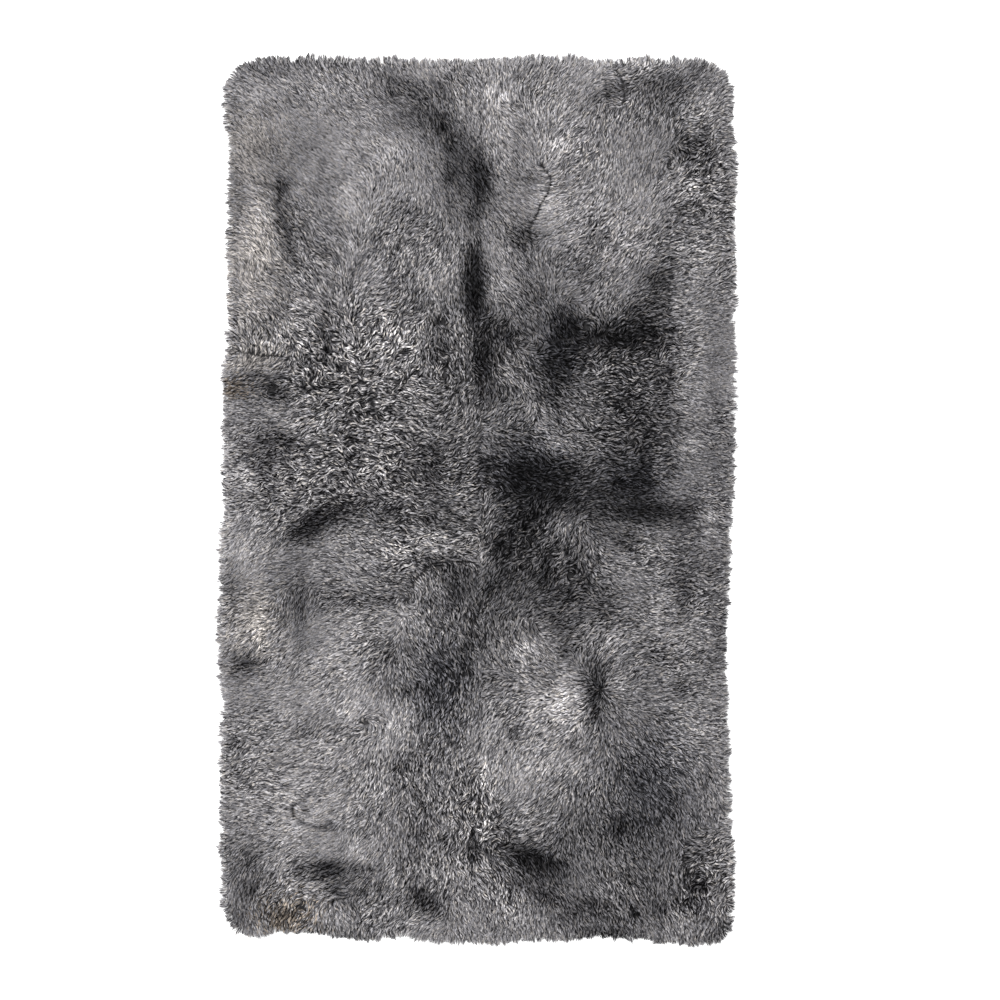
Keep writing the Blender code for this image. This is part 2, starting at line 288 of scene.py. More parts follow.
# How the wool lies. Each row combs the hair around it: x, y, heading, and the reach where it isn't 3.
usualReach = 3
combing = {
    "skin_left_far": [
        (-46, 81, 155), (-40, 84, 137, 4), (-29, 83, 125, 4), (-20, 84, 102), (-13, 84, 130),
        (-5, 83, 120, 4), (-38, 78, 145, 4), (-28, 77, 143, 4), (-20, 79, 148), (-13, 80, 163, 2),
        (-3, 79, 106), (-47, 74, 125), (-40, 74, 100), (-32, 72, 148, 4), (-25, 71, 148, 4), (-14, 75, 145),
        (-8, 75, 93), (-3, 70, 126), (-44, 68, 138, 4), (-34, 66, 142, 4), (-27, 65, 150, 4), (-17, 66, 98),
        (-10, 67, 118), (-35, 60, 123), (-29, 59, 139, 4), (-24, 60, 112, 2), (-19, 60, 56), (-14, 62, 62),
        (-8, 61, 112), (-3, 61, 128), (-34, 54, 117), (-28, 55, 141), (-24, 54, 93, 2), (-19, 54, 50),
        (-10, 55, 38), (-4, 54, 108), (-32, 49, 150), (-27, 49, 102, 2), (-23, 47, 58, 2), (-14, 48, 60, 4),
        (-8, 48, 45), (-4, 46, 95), (-34, 43, 135), (-29, 43, 124, 2), (-26, 42, 72, 2), (-21, 42, 20),
        (-16, 42, 40), (-8, 42, 68), (-3, 40, 100), (-34, 37, 160), (-28, 37, 123), (-25, 39, 88, 2),
        (-16, 37, 50), (-12, 36, 62), (-8, 35, 103), (-4, 35, 112), (-31, 32, 142), (-27, 31, 152, 2),
        (-21, 31, 60), (-14, 32, 57), (-9, 31, 92), (-5, 29, 115), (-36, 28, 92, 2), (-33, 27, 125, 2),
        (-28, 27, 150), (-21, 27, 42), (-13, 27, 43), (-9, 27, 93, 2), (-2, 27, 100), (-35, 23, 133, 2),
        (-26, 22, 170, 4), (-19, 23, 28), (-13, 22, 148), (-8, 22, 188, 2), (-4, 22, 232), (-34, 18, 215),
        (-28, 18, 202), (-19, 18, 164, 4), (-11, 19, 143), (-5, 17, 243), (-33, 12, 182, 4),
        (-25, 12, 188, 4), (-15, 13, 170, 4), (-8, 13, 192), (-3, 11, 225), (-30, 5, 186, 5),
        (-22, 5, 183, 4), (-15, 6, 164, 4), (-9, 5, 157), (-2, 4, 205), (-20, 1, 174, 4), (-8, 1, 160, 4),
    ],
    "skin_left_near": [
        (-38, -3, 222), (-31, -3, 188, 4), (-21, -4, 173, 4), (-13, -4, 177, 4), (-3, -4, 160, 4),
        (-40, -8, 240, 2), (-35, -9, 188), (-26, -9, 172, 4), (-17, -8, 162), (-4, -9, 190),
        (-37, -14, 184), (-30, -14, 190), (-24, -13, 155), (-16, -13, 176), (-4, -15, 285),
        (-36, -19, 265, 2), (-33, -20, 250, 2), (-25, -19, 179, 4), (-18, -20, 178), (-14, -20, 225, 2),
        (-11, -20, 298), (-5, -21, 284), (-35, -24, 265, 2), (-30, -25, 194), (-22, -25, 183, 4),
        (-15, -25, 238, 2), (-12, -26, 302), (-6, -26, 286), (-40, -29, 222), (-34, -29, 212),
        (-26, -29, 188, 4), (-18, -30, 230, 2), (-9, -30, 306), (-4, -31, 292), (-46, -35, 182, 4),
        (-39, -34, 216), (-31, -34, 200), (-23, -33, 202), (-21, -35, 250, 2), (-15, -34, 280),
        (-8, -35, 302), (-2, -36, 265), (-44, -40, 190, 4), (-35, -39, 200), (-28, -38, 226),
        (-23, -39, 232), (-15, -40, 273), (-5, -41, 260, 4), (-45, -45, 182, 4), (-38, -44, 205),
        (-30, -45, 220), (-24, -45, 208), (-19, -44, 150, 2), (-13, -46, 250, 4), (-4, -48, 252, 4),
        (-46, -50, 235), (-42, -51, 190), (-34, -50, 212), (-26, -51, 220), (-20, -51, 265),
        (-12, -51, 248), (-42, -57, 177, 4), (-33, -56, 190), (-25, -56, 225), (-19, -56, 255),
        (-12, -56, 272, 4), (-3, -57, 264, 4), (-42, -63, 184, 4), (-36, -62, 318, 2), (-29, -62, 202),
        (-31, -67, 180, 2), (-26, -67, 262, 2), (-21, -62, 235), (-17, -62, 240), (-12, -62, 288),
        (-4, -63, 272, 4), (-41, -68, 203, 4), (-17, -68, 262), (-12, -68, 286), (-46, -73, 243),
        (-39, -73, 225), (-31, -71, 200), (-23, -72, 230), (-16, -73, 244), (-9, -73, 258), (-3, -75, 285),
        (-46, -79, 268), (-39, -78, 222), (-31, -77, 182, 4), (-21, -78, 232), (-13, -78, 250),
        (-7, -78, 268), (-45, -85, 290), (-38, -83, 228), (-32, -82, 245), (-27, -83, 298),
        (-17, -83, 220, 4), (-9, -84, 213), (-3, -83, 298),
    ],
    "skin_right_far": [
        (4, 83, 92, 4), (10, 84, 58), (16, 82, 58, 4), (23, 82, 48), (27, 83, 165, 2), (34, 84, 25),
        (41, 84, 42), (48, 83, 45), (7, 78, 168, 2), (11, 78, 126), (15, 77, 72), (20, 78, 46),
        (28, 80, 165, 2), (32, 80, 72), (38, 79, 82), (45, 79, 42, 4), (3, 75, 85), (8, 74, 160),
        (13, 73, 100), (19, 74, 36), (25, 74, 86), (30, 73, 88), (37, 74, 66), (45, 74, 6, 4),
        (3, 68, 112, 4), (9, 69, 125), (14, 69, 70), (20, 68, 38, 4), (26, 69, 78), (32, 68, 76),
        (37, 68, 60), (42, 70, 138, 2), (46, 68, 62), (9, 63, 152), (13, 64, 172), (20, 63, 36, 4),
        (26, 63, 92), (30, 64, 84), (36, 63, 54), (46, 63, 8, 4), (3, 58, 128, 4), (9, 58, 138),
        (15, 58, 18), (22, 57, 44), (28, 58, 56), (36, 57, 52), (42, 57, 4), (48, 56, 12), (9, 52, 146, 2),
        (12, 53, 6, 2), (13, 50, 72, 2), (18, 52, 18), (24, 52, 36, 4), (32, 52, 46, 4), (40, 52, 6),
        (46, 51, 10), (3, 48, 110), (7, 46, 138), (11, 46, 116), (14, 45, 92), (18, 46, 34),
        (25, 46, 50, 4), (31, 46, 54), (36, 46, 28), (3, 41, 114), (8, 41, 134), (13, 41, 124),
        (17, 42, 34, 2), (21, 42, 8), (27, 42, 52), (33, 43, 48), (36, 39, 162), (4, 35, 48), (11, 36, 123),
        (15, 35, 108), (20, 36, 112), (24, 34, 117), (26, 38, 85, 2), (30, 37, 48), (32, 34, 12),
        (5, 30, 112), (9, 31, 22, 2), (13, 29, 52, 2), (17, 29, 0), (24, 30, 4, 4), (33, 29, 2, 4),
        (2, 26, 85), (8, 26, 128), (14, 25, -35), (20, 25, -6, 4), (29, 25, 6, 4), (37, 25, 24),
        (5, 22, 124, 2), (12, 22, 128), (18, 21, -32), (25, 21, -12), (33, 20, 4, 4), (5, 18, 50),
        (10, 18, 58), (17, 18, -48), (23, 16, -25), (32, 15, 2, 5), (3, 14, -5, 2), (9, 15, 40, 2),
        (14, 13, -44), (20, 13, -52), (26, 12, -18), (4, 10, -48), (10, 10, -40, 4), (17, 10, -25),
        (24, 9, 18), (33, 9, 12, 4), (5, 5, -14, 4), (14, 5, 6, 4), (23, 5, 18), (30, 5, -25),
        (36, 4, -4, 4),
    ],
    "skin_right_near": [
        (3, -2, 44), (8, 0, 24), (11, -3, 78, 2), (15, -2, 62), (21, -1, 20), (30, -2, -18, 4),
        (38, -2, 0, 4), (45, -2, -12, 4), (4, -7, 55), (10, -7, 32), (14, -7, 72), (20, -6, 98),
        (26, -6, -22), (36, -7, 2, 5), (46, -8, 2, 4), (8, -12, 42), (15, -12, 50, 4), (23, -11, 102, 2),
        (30, -12, -6, 4), (38, -13, 6, 4), (45, -13, 8, 4), (4, -17, 60, 4), (11, -16, 66), (17, -17, 28),
        (22, -17, 108, 2), (26, -17, -42), (33, -17, 0, 4), (41, -18, 10, 4), (6, -21, 56), (12, -21, 12),
        (19, -21, 12, 4), (26, -21, 16), (36, -22, 8, 4), (46, -22, 4, 4), (4, -26, 100), (10, -26, 104),
        (15, -25, 12, 2), (19, -26, 28), (25, -26, 50), (33, -26, 3, 5), (44, -28, 4, 5), (5, -31, 118),
        (10, -31, 130), (14, -32, 140), (18, -33, 168, 2), (21, -31, 98, 2), (26, -31, 78), (31, -32, 40),
        (38, -32, 8, 4), (4, -36, 208), (9, -36, 150), (15, -37, 172), (20, -37, 182, 2), (30, -36, 24),
        (38, -37, 4, 4), (46, -37, -4, 4), (4, -41, 226), (10, -41, 196), (17, -41, 187), (21, -42, 205, 2),
        (28, -41, -38, 2), (33, -40, -4), (42, -41, 0, 4), (4, -46, 242), (10, -45, 218), (16, -45, 210),
        (20, -45, 228), (24, -46, 248, 2), (28, -46, 292), (32, -45, -42), (38, -45, -28), (46, -46, -2),
        (2, -51, 264), (6, -51, 246), (12, -51, 226, 4), (19, -51, 228), (24, -51, 250), (29, -51, 298),
        (34, -51, -42), (42, -51, -28, 4), (2, -57, 269), (7, -57, 240), (14, -57, 231, 4), (20, -57, 238),
        (24, -57, 266), (29, -57, 292), (35, -57, -36), (41, -57, -42), (47, -57, -76), (3, -63, 258),
        (8, -62, 222), (14, -62, 222), (20, -63, 274), (26, -63, 290), (33, -62, -52), (40, -62, 286),
        (47, -62, -80, 4), (7, -67, 182), (12, -67, 198), (16, -68, 226), (20, -68, 292), (27, -68, 292, 4),
        (35, -68, 288, 4), (46, -67, 8), (4, -73, 302), (10, -73, 308), (16, -74, 296), (24, -73, 308, 4),
        (32, -73, 293, 4), (38, -74, 272), (44, -73, 14), (3, -79, 274, 4), (10, -80, 272), (16, -80, 292),
        (24, -79, 300, 4), (33, -79, 287, 4), (40, -79, 284), (45, -79, 255), (3, -86, 270, 4),
        (10, -86, 258, 4), (18, -86, 297, 4), (29, -86, 292, 5), (38, -86, 298, 4), (46, -86, 272, 4),
    ],
    "gusset_left_far": [
        (-43, 60, 152, 2), (-47, 57, 165), (-41, 56, 120), (-45, 52, 150), (-41, 50, 138), (-49, 48, 100),
        (-44, 46, 60, 2), (-41, 42, 135), (-46, 40, 160), (-42, 36, 120), (-48, 34, 140), (-43, 31, 95),
        (-45, 27, 218), (-41, 26, 205, 2), (-44, 22, 180), (-46, 18, 172), (-40, 18, 196), (-45, 13, 205),
        (-40, 12, 178), (-43, 6, 184, 5), (-43, 1, 184, 4),
    ],
    "gusset_left_near": [
        (-45, -3, 208), (-44, -7, 228), (-44, -13, 222, 4), (-49, -12, 240), (-44, -19, 170),
        (-44, -23, 184), (-48, -25, 210), (-44, -28, 222, 4),
    ],
    "gusset_right": [
        (42, 47, 14), (47, 46, 20), (41, 42, 0), (46, 42, 18), (41, 36, 12), (46, 36, 8), (41, 30, -2),
        (47, 30, 8), (42, 25, 30, 2), (46, 24, -38, 2), (43, 20, -18), (48, 19, -4), (43, 14, -10, 4),
        (48, 13, -6), (40, 10, -40, 2), (45, 8, -10, 4), (44, 4, -8, 4),
    ],
}

# Where the hair turns about a point: x, y, reach, and the turn from straight outwards.
whorls = [
    (24.7, -37.9, 3.4, 0), (-19.7, 35.7, 1.6, 90), (-40.9, 22.1, 2.6, 75), (-6.8, 35.7, 1.9, 90),
    (-6.4, 25.3, 1.8, -80), (-33.5, 28, 1.8, 85), (-29.5, 25, 1.8, -85), (-35.3, -81.5, 2.2, 80),
    (4.7, -68.9, 3.2, 60), (38.5, 67.5, 2.6, 70), (45.5, 58, 2.2, -75), (36, 32.5, 2, 80),
    (21.8, 34.5, 2, -70), (-22, -44.5, 2.6, -60), (46, -76.5, 2.4, 60), (19, -15, 2.2, 75),
    (-14, -20, 2.4, 70), (31, 12, 2.6, -65), (-26, 8, 2.2, 60),
]

# Broad shades of the skins: painted shade where the pile parts and turns from the light, partly its darker
# inner wool, and painted light where the depth is below zero:
# x, y, half length, half width, depth, and the heading of the length where it isn't 0.
broadPaintedShades = [
    (-14.3, 83.1, 5.2, 2.4, .22, -10), (-7.3, 75.7, 6, 2.6, .35, -50), (-1.3, 65.7, 6.4, 3.6, .42, -68),
    (9.7, 52.5, 3.4, 2.6, .2), (-.5, 43.5, 6, 2.2, .5, 90), (2.1, 30.1, 6.6, 2.4, .45, 90),
    (7.7, 33.1, 2.8, 2.6, .3), (17.1, 28.5, 8.5, 4.6, .43, 85), (25.7, 33.1, 10, 2.8, .42, 3),
    (35.1, 40.1, 6.4, 3, .3, 75), (33.3, 18.1, 17, 5.6, .36, 90), (25.7, 20.1, 8, 5, .09, 90),
    (12.7, 4.5, 9.6, 4.6, .54, -3), (30.1, 4.1, 7.6, 3.8, .2), (22.7, -.9, 12, 2.2, .3),
    (10.3, -10.9, 12, 5, .38, 88), (19.7, -17.9, 8, 4, .3, 80), (5.1, -11.9, 6, 2.6, .3, 90),
    (35.7, -2.9, 9, 2.4, .35), (41.7, -12.9, 9, 2.4, .22, 90), (-42.9, 22.1, 7.2, 2.6, .18, 5),
    (-41.3, 12.1, 5, 2.6, .22, -20), (-38.3, 1.1, 5, 2, .08), (-23.3, 8.1, 12, 6, .04),
    (-9.3, 6.1, 5.6, 4, .22, 90), (-5.3, 21.1, 6, 3.6, .12, 90), (-7.3, 33.1, 6, 2.6, .2, 80),
    (-30.3, 30.1, 7, 2.4, .1, 90), (-32.3, -5.4, 5, 2, .42, 25), (-22.3, -1.3, 7, 1.8, .22, 5),
    (-8.3, -3.9, 6, 2, .12), (-7.3, -13.4, 7, 2, .18, -8), (-2.9, -17.9, 5, 2.8, .28, 90),
    (-3.3, -33.9, 11, 4.6, .22, 70), (-9.3, -38.9, 7, 4, .1, 85), (-14.3, -29.9, 5, 3, .15),
    (-9.3, -58.9, 9, 5, .05, 90), (32.7, -57.9, 17, 8, .2, 90), (29.7, -65.9, 4.6, 4, .2),
    (34.7, -79.9, 7, 5, .08), (11.3, -71.9, 6.4, 2.6, .42, -20), (16.7, -79.3, 8, 2.8, .24, -25),
    (23.7, -82.9, 5, 3, .2), (43.7, -78.9, 3.4, 2.4, .16, 90), (-29.3, -74.3, 4.4, 2.2, .28),
    (-17.3, -78.9, 7, 5, -.14), (-9.3, -80.3, 4.6, 2.2, .26, -30), (-45.3, -74.9, 4, 3, .14, 90),
    (-38.3, 57.1, 6.4, 2.4, .28, -80), (41.7, 71.1, 4, 3.4, .14), (38.7, 82.1, 7, 3.4, .18, 25),
    (26.7, 81.7, 6, 2.8, .14, 20), (42.7, 62.1, 8, 4.2, -.03, 90), (23.3, -37.9, 6, 2.2, .36, 90),
    (-45.9, -32.9, 3.2, 2.6, .25), (20.7, -72.9, 6, 4, .15), (-25.3, 70.1, 10, 9, -.04),
    (16.7, 68.1, 11, 11, -.1), (-43.3, 52.1, 8, 4, -.14, 90), (-16.3, 33.1, 7, 5, -.2),
    (-42.3, -23.9, 12, 5, -.14, 90), (-25.3, -11.9, 9, 4, -.08), (-27.3, -34.9, 10, 10, -.1, 90),
    (16.1, -40.9, 5.6, 4.6, -.16, 90), (11.7, -52.9, 9, 6, -.1), (29.1, -12.9, 6, 5, -.05),
    (48.7, 18.1, 16, 2.6, .16, 90), (-35.3, -55.9, 12, 10, -.08), (4.7, 76.1, 8, 3, -.06, 90),
    (-37.3, 71.1, 6.5, 5, .22), (-31.3, 64.1, 5, 3.6, .12), (-43.3, 86.6, 6, 2.6, .2),
    (-48.3, 57.1, 3, 5, .16), (-30.3, 56.1, 6, 2.6, .14, 90), (-7.3, 65.1, 9, 3.2, .18, -70),
    (-13.7, 57.1, 3, 2.6, .18), (-14.3, 76.1, 3, 2.4, .24), (8.5, 66.1, 8, 2.8, .2, 90),
    (11.3, 42.1, 8, 3.2, .2, 100), (16.7, 42.7, 3, 2.4, .12), (7.3, 12.7, 4, 2.8, .28),
    (9.3, 21.1, 4, 2.6, .12), (-36.3, -19.9, 10, 3.2, .32, 90), (-8.3, -20.3, 3, 2, .22),
    (27.3, -8.3, 4, 2.8, .28), (30.3, -17.3, 5, 3.6, .15), (47.3, -12.9, 2.8, 3.4, .24),
    (-49.3, -16.9, 2.4, 3, .2), (-48.3, -84.9, 3.6, 2.8, .2), (28.3, -87.9, 4, 1.8, .24),
    (49.3, -87.9, 2.6, 2.6, .26), (-38.3, 28.1, 8, 7, -.1), (-12.3, -11.3, 5, 2.6, -.14),
    (-12.3, -44.3, 5, 4, -.2, 60), (-36.3, -75.3, 5, 3.6, -.14), (4.7, -66.9, 6, 3.6, -.12),
    (30.3, 54.1, 4, 3.6, -.12), (-26.3, -24.3, 2.6, 2.6, -.22), (-31, 88.6, 18, 1.8, .16),
    (-49.5, 62, 4, 2.5, .14, 90), (-49.5, 75, 5, 2.5, .12, 90), (39, 56, 5, 3, .13), (31, 69, 4, 3, .14),
    (-44, 9, 3, 2.6, .2), (43.5, 6, 4, 3, .14, 90), (42, 15.5, 2.5, 2, .18), (46.5, -4, 2.4, 2, -.25),
    (-28.5, -17, 6, 3, .16, 80), (2, -17, 14, 2.6, .13), (-18.5, -20, 3, 2, .14),
    (25, -21, 3.4, 2.6, .18, 60), (25.5, -4.5, 3, 2, .17), (31.5, -45, 5, 4, .1), (34.5, -35, 3, 4, .1),
    (20, -42, 3.4, 2.6, -.28, 60), (10, -28, 5.5, 2.4, -.16, 90), (18, -29, 3, 2, .15, 90),
    (-15.5, -37.5, 4, 3, .25, -20), (-46.5, -38, 5, 5, .14), (3, -49, 7, 3.4, .04, 90),
    (-32.5, -47, 3.4, 2.6, .17), (-12, -50, 4, 3.4, .14, 90), (43, -65, 6, 3.4, .2, 90),
    (35, -76, 8, 3, .15, 90), (20, -65.5, 5, 3.4, .21, 40), (-13, -69, 6, 3, .17, 80),
    (-22.5, -78.5, 4, 2.6, .27), (-14, -80, 2.6, 2, .22), (-30, -88, 6, 1.8, .18),
    (-49.5, -83.5, 2.4, 2, .2), (-47, -75, 6, 4, .14, 90), (10, -76, 5, 2, .16), (14.5, -79.5, 2.4, 2, .15),
    (18, -84, 2.4, 2, .25), (25, -88.3, 4.5, 1.8, .48), (4.5, 79, 4, 2.6, -.15), (14.5, 32, 2.4, 2.4, -.22),
    (34, 24, 2.4, 2.4, -.28), (-45, -30, 4, 3.4, -.12), (-32.5, -28, 3, 2, .16),
    (-38.5, -58.5, 2.6, 2.6, -.14), (34, 88.3, 2, 1.6, -.3), (-6, 84, 2, 2, .17), (-2.5, 57.5, 3.6, 3, .14),
    (-40, 44, 3.4, 2.2, .15), (22, 46, 6, 2.4, .12, -20), (-12.5, 38, 3, 2, .13, -45), (8, 36.5, 3, 2, .12),
    (3.5, 20, 3, 2, .15), (25, 10, 4, 2.6, .15, -40), (-14.5, 4, 2, 1.8, .18), (-16, -4, 3, 1.8, .15),
    (47.5, 31, 6, 2.4, .15, 90), (46.5, -38.5, 5, 2.4, .1, 90), (50, -28, 6, 2, .2, 90),
]

# Hollows between the tufts, sunk and darkened with painted shade where the eye looks down between them, in
# rows like those above.
hollows = [
    (-38.9, 62.1, 1.5, .9, .45, 90), (-13.9, 81.7, 4, 1.3, .22), (-16.7, 80.1, 1.5, 1.1, .28),
    (-5.3, 70.1, 2, 1, .28, 90), (-5.3, 64.5, 1.7, 1.2, .42, 90), (1.3, 64.1, 3.6, 1.6, .62, 90),
    (-.3, 57.1, 2, 1, .32, 80), (9.7, 52.5, 1.9, 1.8, .38), (-.5, 42.7, 5.6, 1.6, .62, 90),
    (1.3, 29.1, 4.6, 1.5, .62, 90), (6.5, 32.1, 2.6, 1.1, .42, -60), (4.2, 21.6, 2.2, 1.2, .28),
    (-6.3, 30.1, 1.4, 1.2, .28), (-30.3, 32.1, 4, 1.1, .22, 90), (-40.3, 22.1, 2, 1.5, .42),
    (-43.3, 23.1, 5.2, 2.2, .18), (17.9, 35.1, 2.6, 2.3, .58), (15.7, 27.1, 3.4, 2.8, .6, 90),
    (14.7, 21.1, 2.1, 1.5, .42, 90), (16.7, 15.1, 1.7, 1.1, .28, 90), (33.7, 10.1, 3.4, 1.3, .32, 90),
    (10.5, 4.9, 6.4, 3.8, .52), (30.7, 4.1, 4.6, 2.4, .46), (-37.1, 11.7, 3.2, 1.1, .42, -25),
    (-41.9, 5.1, 2.7, 1.3, .3, 90), (-8.3, 6.6, 2.6, 2, .28), (43.7, 70.7, 2.3, 2.1, .42),
    (39, 82, 3.6, 2.4, .28, 35), (26.2, 81.3, 3.6, 1.1, .32, 27), (49.7, 53.1, 6.2, 1.1, .14, 90),
    (-31.7, -3.9, 5.4, 1.4, .62, 29), (-8.3, -12.4, 3.6, 1.1, .36, -13), (-34.9, -22.4, 5.4, 1, .18, 90),
    (-22.3, -19.9, 5.6, 1, .28), (-4.3, -18.9, 2.8, 1.1, .38, 90), (5.3, -9.9, 1.8, 1.6, .6),
    (9.4, -3.9, 2.4, 2.2, .58), (14.1, -13.9, 3.6, 1.3, .6, 90), (19.3, -13.9, 1.5, 1.1, .38),
    (18.7, -19.5, 1.9, 1, .38), (34.7, -1.9, 5.4, 1.3, .42), (30.1, -8.5, 1.7, 1.3, .42),
    (2.7, -17.9, 1.5, 1.1, .46, 60), (.1, -21.9, 1.7, 1.1, .46, 70), (-1.3, -27.9, 2.2, 1.2, .46, 80),
    (-7.3, -35.9, 6, 4, .2, 90), (-2.3, -32.9, 1.8, 1.4, .38, 90), (-10.3, -37.9, 1.8, 1.4, .32),
    (-9.3, -42.9, 1.8, 1.4, .32), (3.1, -35.3, 1.3, 1.1, .32), (-17.3, -30.9, 1, .9, .28),
    (24.1, -38.4, 4, 1.3, .46, 90), (7.1, -45.9, 1.8, 1.4, .18), (41.3, -17.4, 3.2, 1.1, .28, 90),
    (35.7, -30.9, 1.7, 1.4, .18), (33.7, -56.9, 7, 4.6, .2, 90), (29.7, -52.9, 1.7, 1.3, .32),
    (-15.3, -53.3, 1.6, 1.3, .32), (-48.9, -54.5, 1.6, 1.1, .32), (-48.3, -48.9, 1.6, 1.1, .32),
    (4.7, -64.5, 1.6, 1.3, .28), (-.3, -69.9, 1.7, 1.3, .38), (11.3, -71.5, 4.7, 1.6, .62, -15),
    (14.1, -79.3, 1.9, 1.4, .46), (22.7, -80.9, 2.6, 1.3, .28), (4.1, -73.9, 1.3, 1.1, .38),
    (-29.9, -73.7, 3.1, 1.4, .62), (-28.3, -77.9, 1.3, 1.2, .38), (-35.3, -73.9, 1.5, 1.1, .32),
    (-40.3, -82.9, 2.1, 1.2, .18), (-9.9, -79.9, 2.8, 1.2, .58, -41), (44.1, -76.9, 1.6, 1.3, .38),
    (36.7, -81.5, 1.4, 1.2, .32), (29.7, -74.9, 1.6, 1.3, .28), (-29.6, -65.1, 2, .9, .28),
    *spots(1.6, 1.3, .42, (-6.7, 74.7), (42.7, -80.5), (32.1, -82.5)),
    *spots(1.4, 1.1, .28,
        (-7.7, 34.7), (-24.3, 12.1), (-26.3, 8.1), (-14.3, 13.1), (-22.3, -73.9), (-45.3, -72.3),
        (-45.9, -78.5), (-5.7, -68.5),
    ),
    *spots(1.5, 1.3, .28, (-6.3, 25.1), (26.7, 8.1), (25.7, -22.9)),
    *spots(1.7, 1.4, .28, (-48.3, 23.1), (11.3, 40.7), (-16.3, -1.9), (-9.3, -3.9), (41.3, -37.9)),
    *spots(1.1, 1, .28, (-33.3, 24.1), (-29.3, 22.1), (46.1, -55.3)),
    *spots(1.9, 1.5, .55, (25.3, 31.5), (28.7, 32.7), (29.3, -65.3)),
    *spots(1.7, 1.4, .32, (31.3, 38.1), (36.1, 42.7), (32.7, -56.9), (38.7, -58.9), (37.7, -62.3)),
    *spots(1.5, 1.3, .32, (31.7, 31.1), (34.7, 34.1), (36.7, 23.5), (29.1, 19.5), (-7.3, -32.9)),
    *spots(1.7, 1.3, .28, (23.7, 13.1), (2.7, 7.1), (-45.9, -32.9)),
    *spots(1.4, 1.1, .32, (46.7, 67.1), (42.3, 58.5), (16.7, -24.5), (18.3, -29.9)),
    *spots(1.8, 1.4, .14,
        (-13.3, 58.1), (-9.3, 53.1), (-20.3, 51.1), (-29.3, 49.1), (-42.3, 78.1), (-41.3, 70.1),
    ),
    *spots(1.6, 1.3, .18, (20.7, -49.3), (20.7, -57.5), (-33.3, -45.3)),
]

# Pale tufts that stand up into the light, raised and given a painted highlight, in rows like those above.
paleTufts = [
    (2.7, 82.1, 1.7, 1.4, .2), (-17.7, 69.5, 2.3, 1.7, .12), (-25.3, 60.7, 2.3, 1.7, .12),
    (15.3, 78.1, 2.1, 1.7, .12), (16.7, 70.7, 2.4, 1.9, .26), (22.7, 67.1, 2.1, 1.7, .12),
    (5.7, 44.1, 2.6, 1.7, .14, 90), (-7.3, 46.1, 2.3, 1.7, .14, 35), (-17.3, 34.4, 2.3, 1.4, .2, 90),
    (6.7, 26.1, 1, 1, .18), (-12.3, 22.1, 1.9, 1.6, .13), (11.7, 18.1, 1.9, 1.6, .13),
    (44.1, 62.1, 1.4, 1.2, .14), (46.7, 31.1, 2.3, 1.4, .14), (42.7, 10.7, 1.9, 1.4, .2),
    (-18.9, 7.7, 2.1, 1.6, .2), (29.7, 51.1, 2.1, 1.7, .13), (15.3, 12.7, 1.6, 1.2, .13),
    (-43, -23.9, 3.6, 1.6, .26, 75), (-8.3, -8.5, 2.1, 1.5, .26), (-28.7, -30.5, 2.3, 1.9, .14),
    (-25.3, -41.3, 2.3, 1.7, .2), (-16.3, -45.9, 1.7, 1.4, .2), (17.1, -39.9, 3, 2.6, .26),
    (2.5, -54.4, 5, 1.7, .26, 90), (12.7, -49.3, 1.7, 1.6, .14), (12.7, -52.9, 3.6, 1.7, .2),
    (19.7, -53.9, 1.4, 1.3, .14), (-31.3, -48.9, 2.1, 1.6, .14), (-37.3, -65.9, 2.3, 1.7, .2),
    (7.3, -82.5, 1.9, 1.7, .2), (46.1, -44.5, 1.7, 1.6, .2), (49.7, -73.9, 1.4, 1.9, .14),
    (-50.3, -37.9, 1.4, 1.4, .14),
    *spots(1.6, 1.4, .14, (5.7, 80.1), (-13.9, -42.5), (4.7, -78.9), (-5.9, -74.5)),
    *spots(1.7, 1.5, .2, (-40.9, 57.7), (-36.7, 34.7), (-25.9, 29.5)),
    *spots(2.1, 1.7, .14, (-44.3, 55.1), (-42.3, 49.1), (40.7, -84.9)),
    *spots(2.1, 1.7, .2, (14.7, 59.5), (-46.7, 4.1), (-45.9, -9.9), (8.7, -30.5)),
    *spots(1.9, 1.4, .14, (-26.3, 2.1), (-14.3, 1.1), (-1.3, 2.1)),
    *spots(1.7, 1.4, .14,
        (-26.7, -6.3), (24.1, -9.9), (34.1, -10.5), (28.7, -37.3), (40.7, -26.9), (25.7, -29.3),
        (46.1, -3.3),
    ),
    *spots(1.9, 1.6, .14, (-15.7, -10.3), (-1.3, -8.9), (-18.3, -58.9), (-23.3, -69.9)),
]
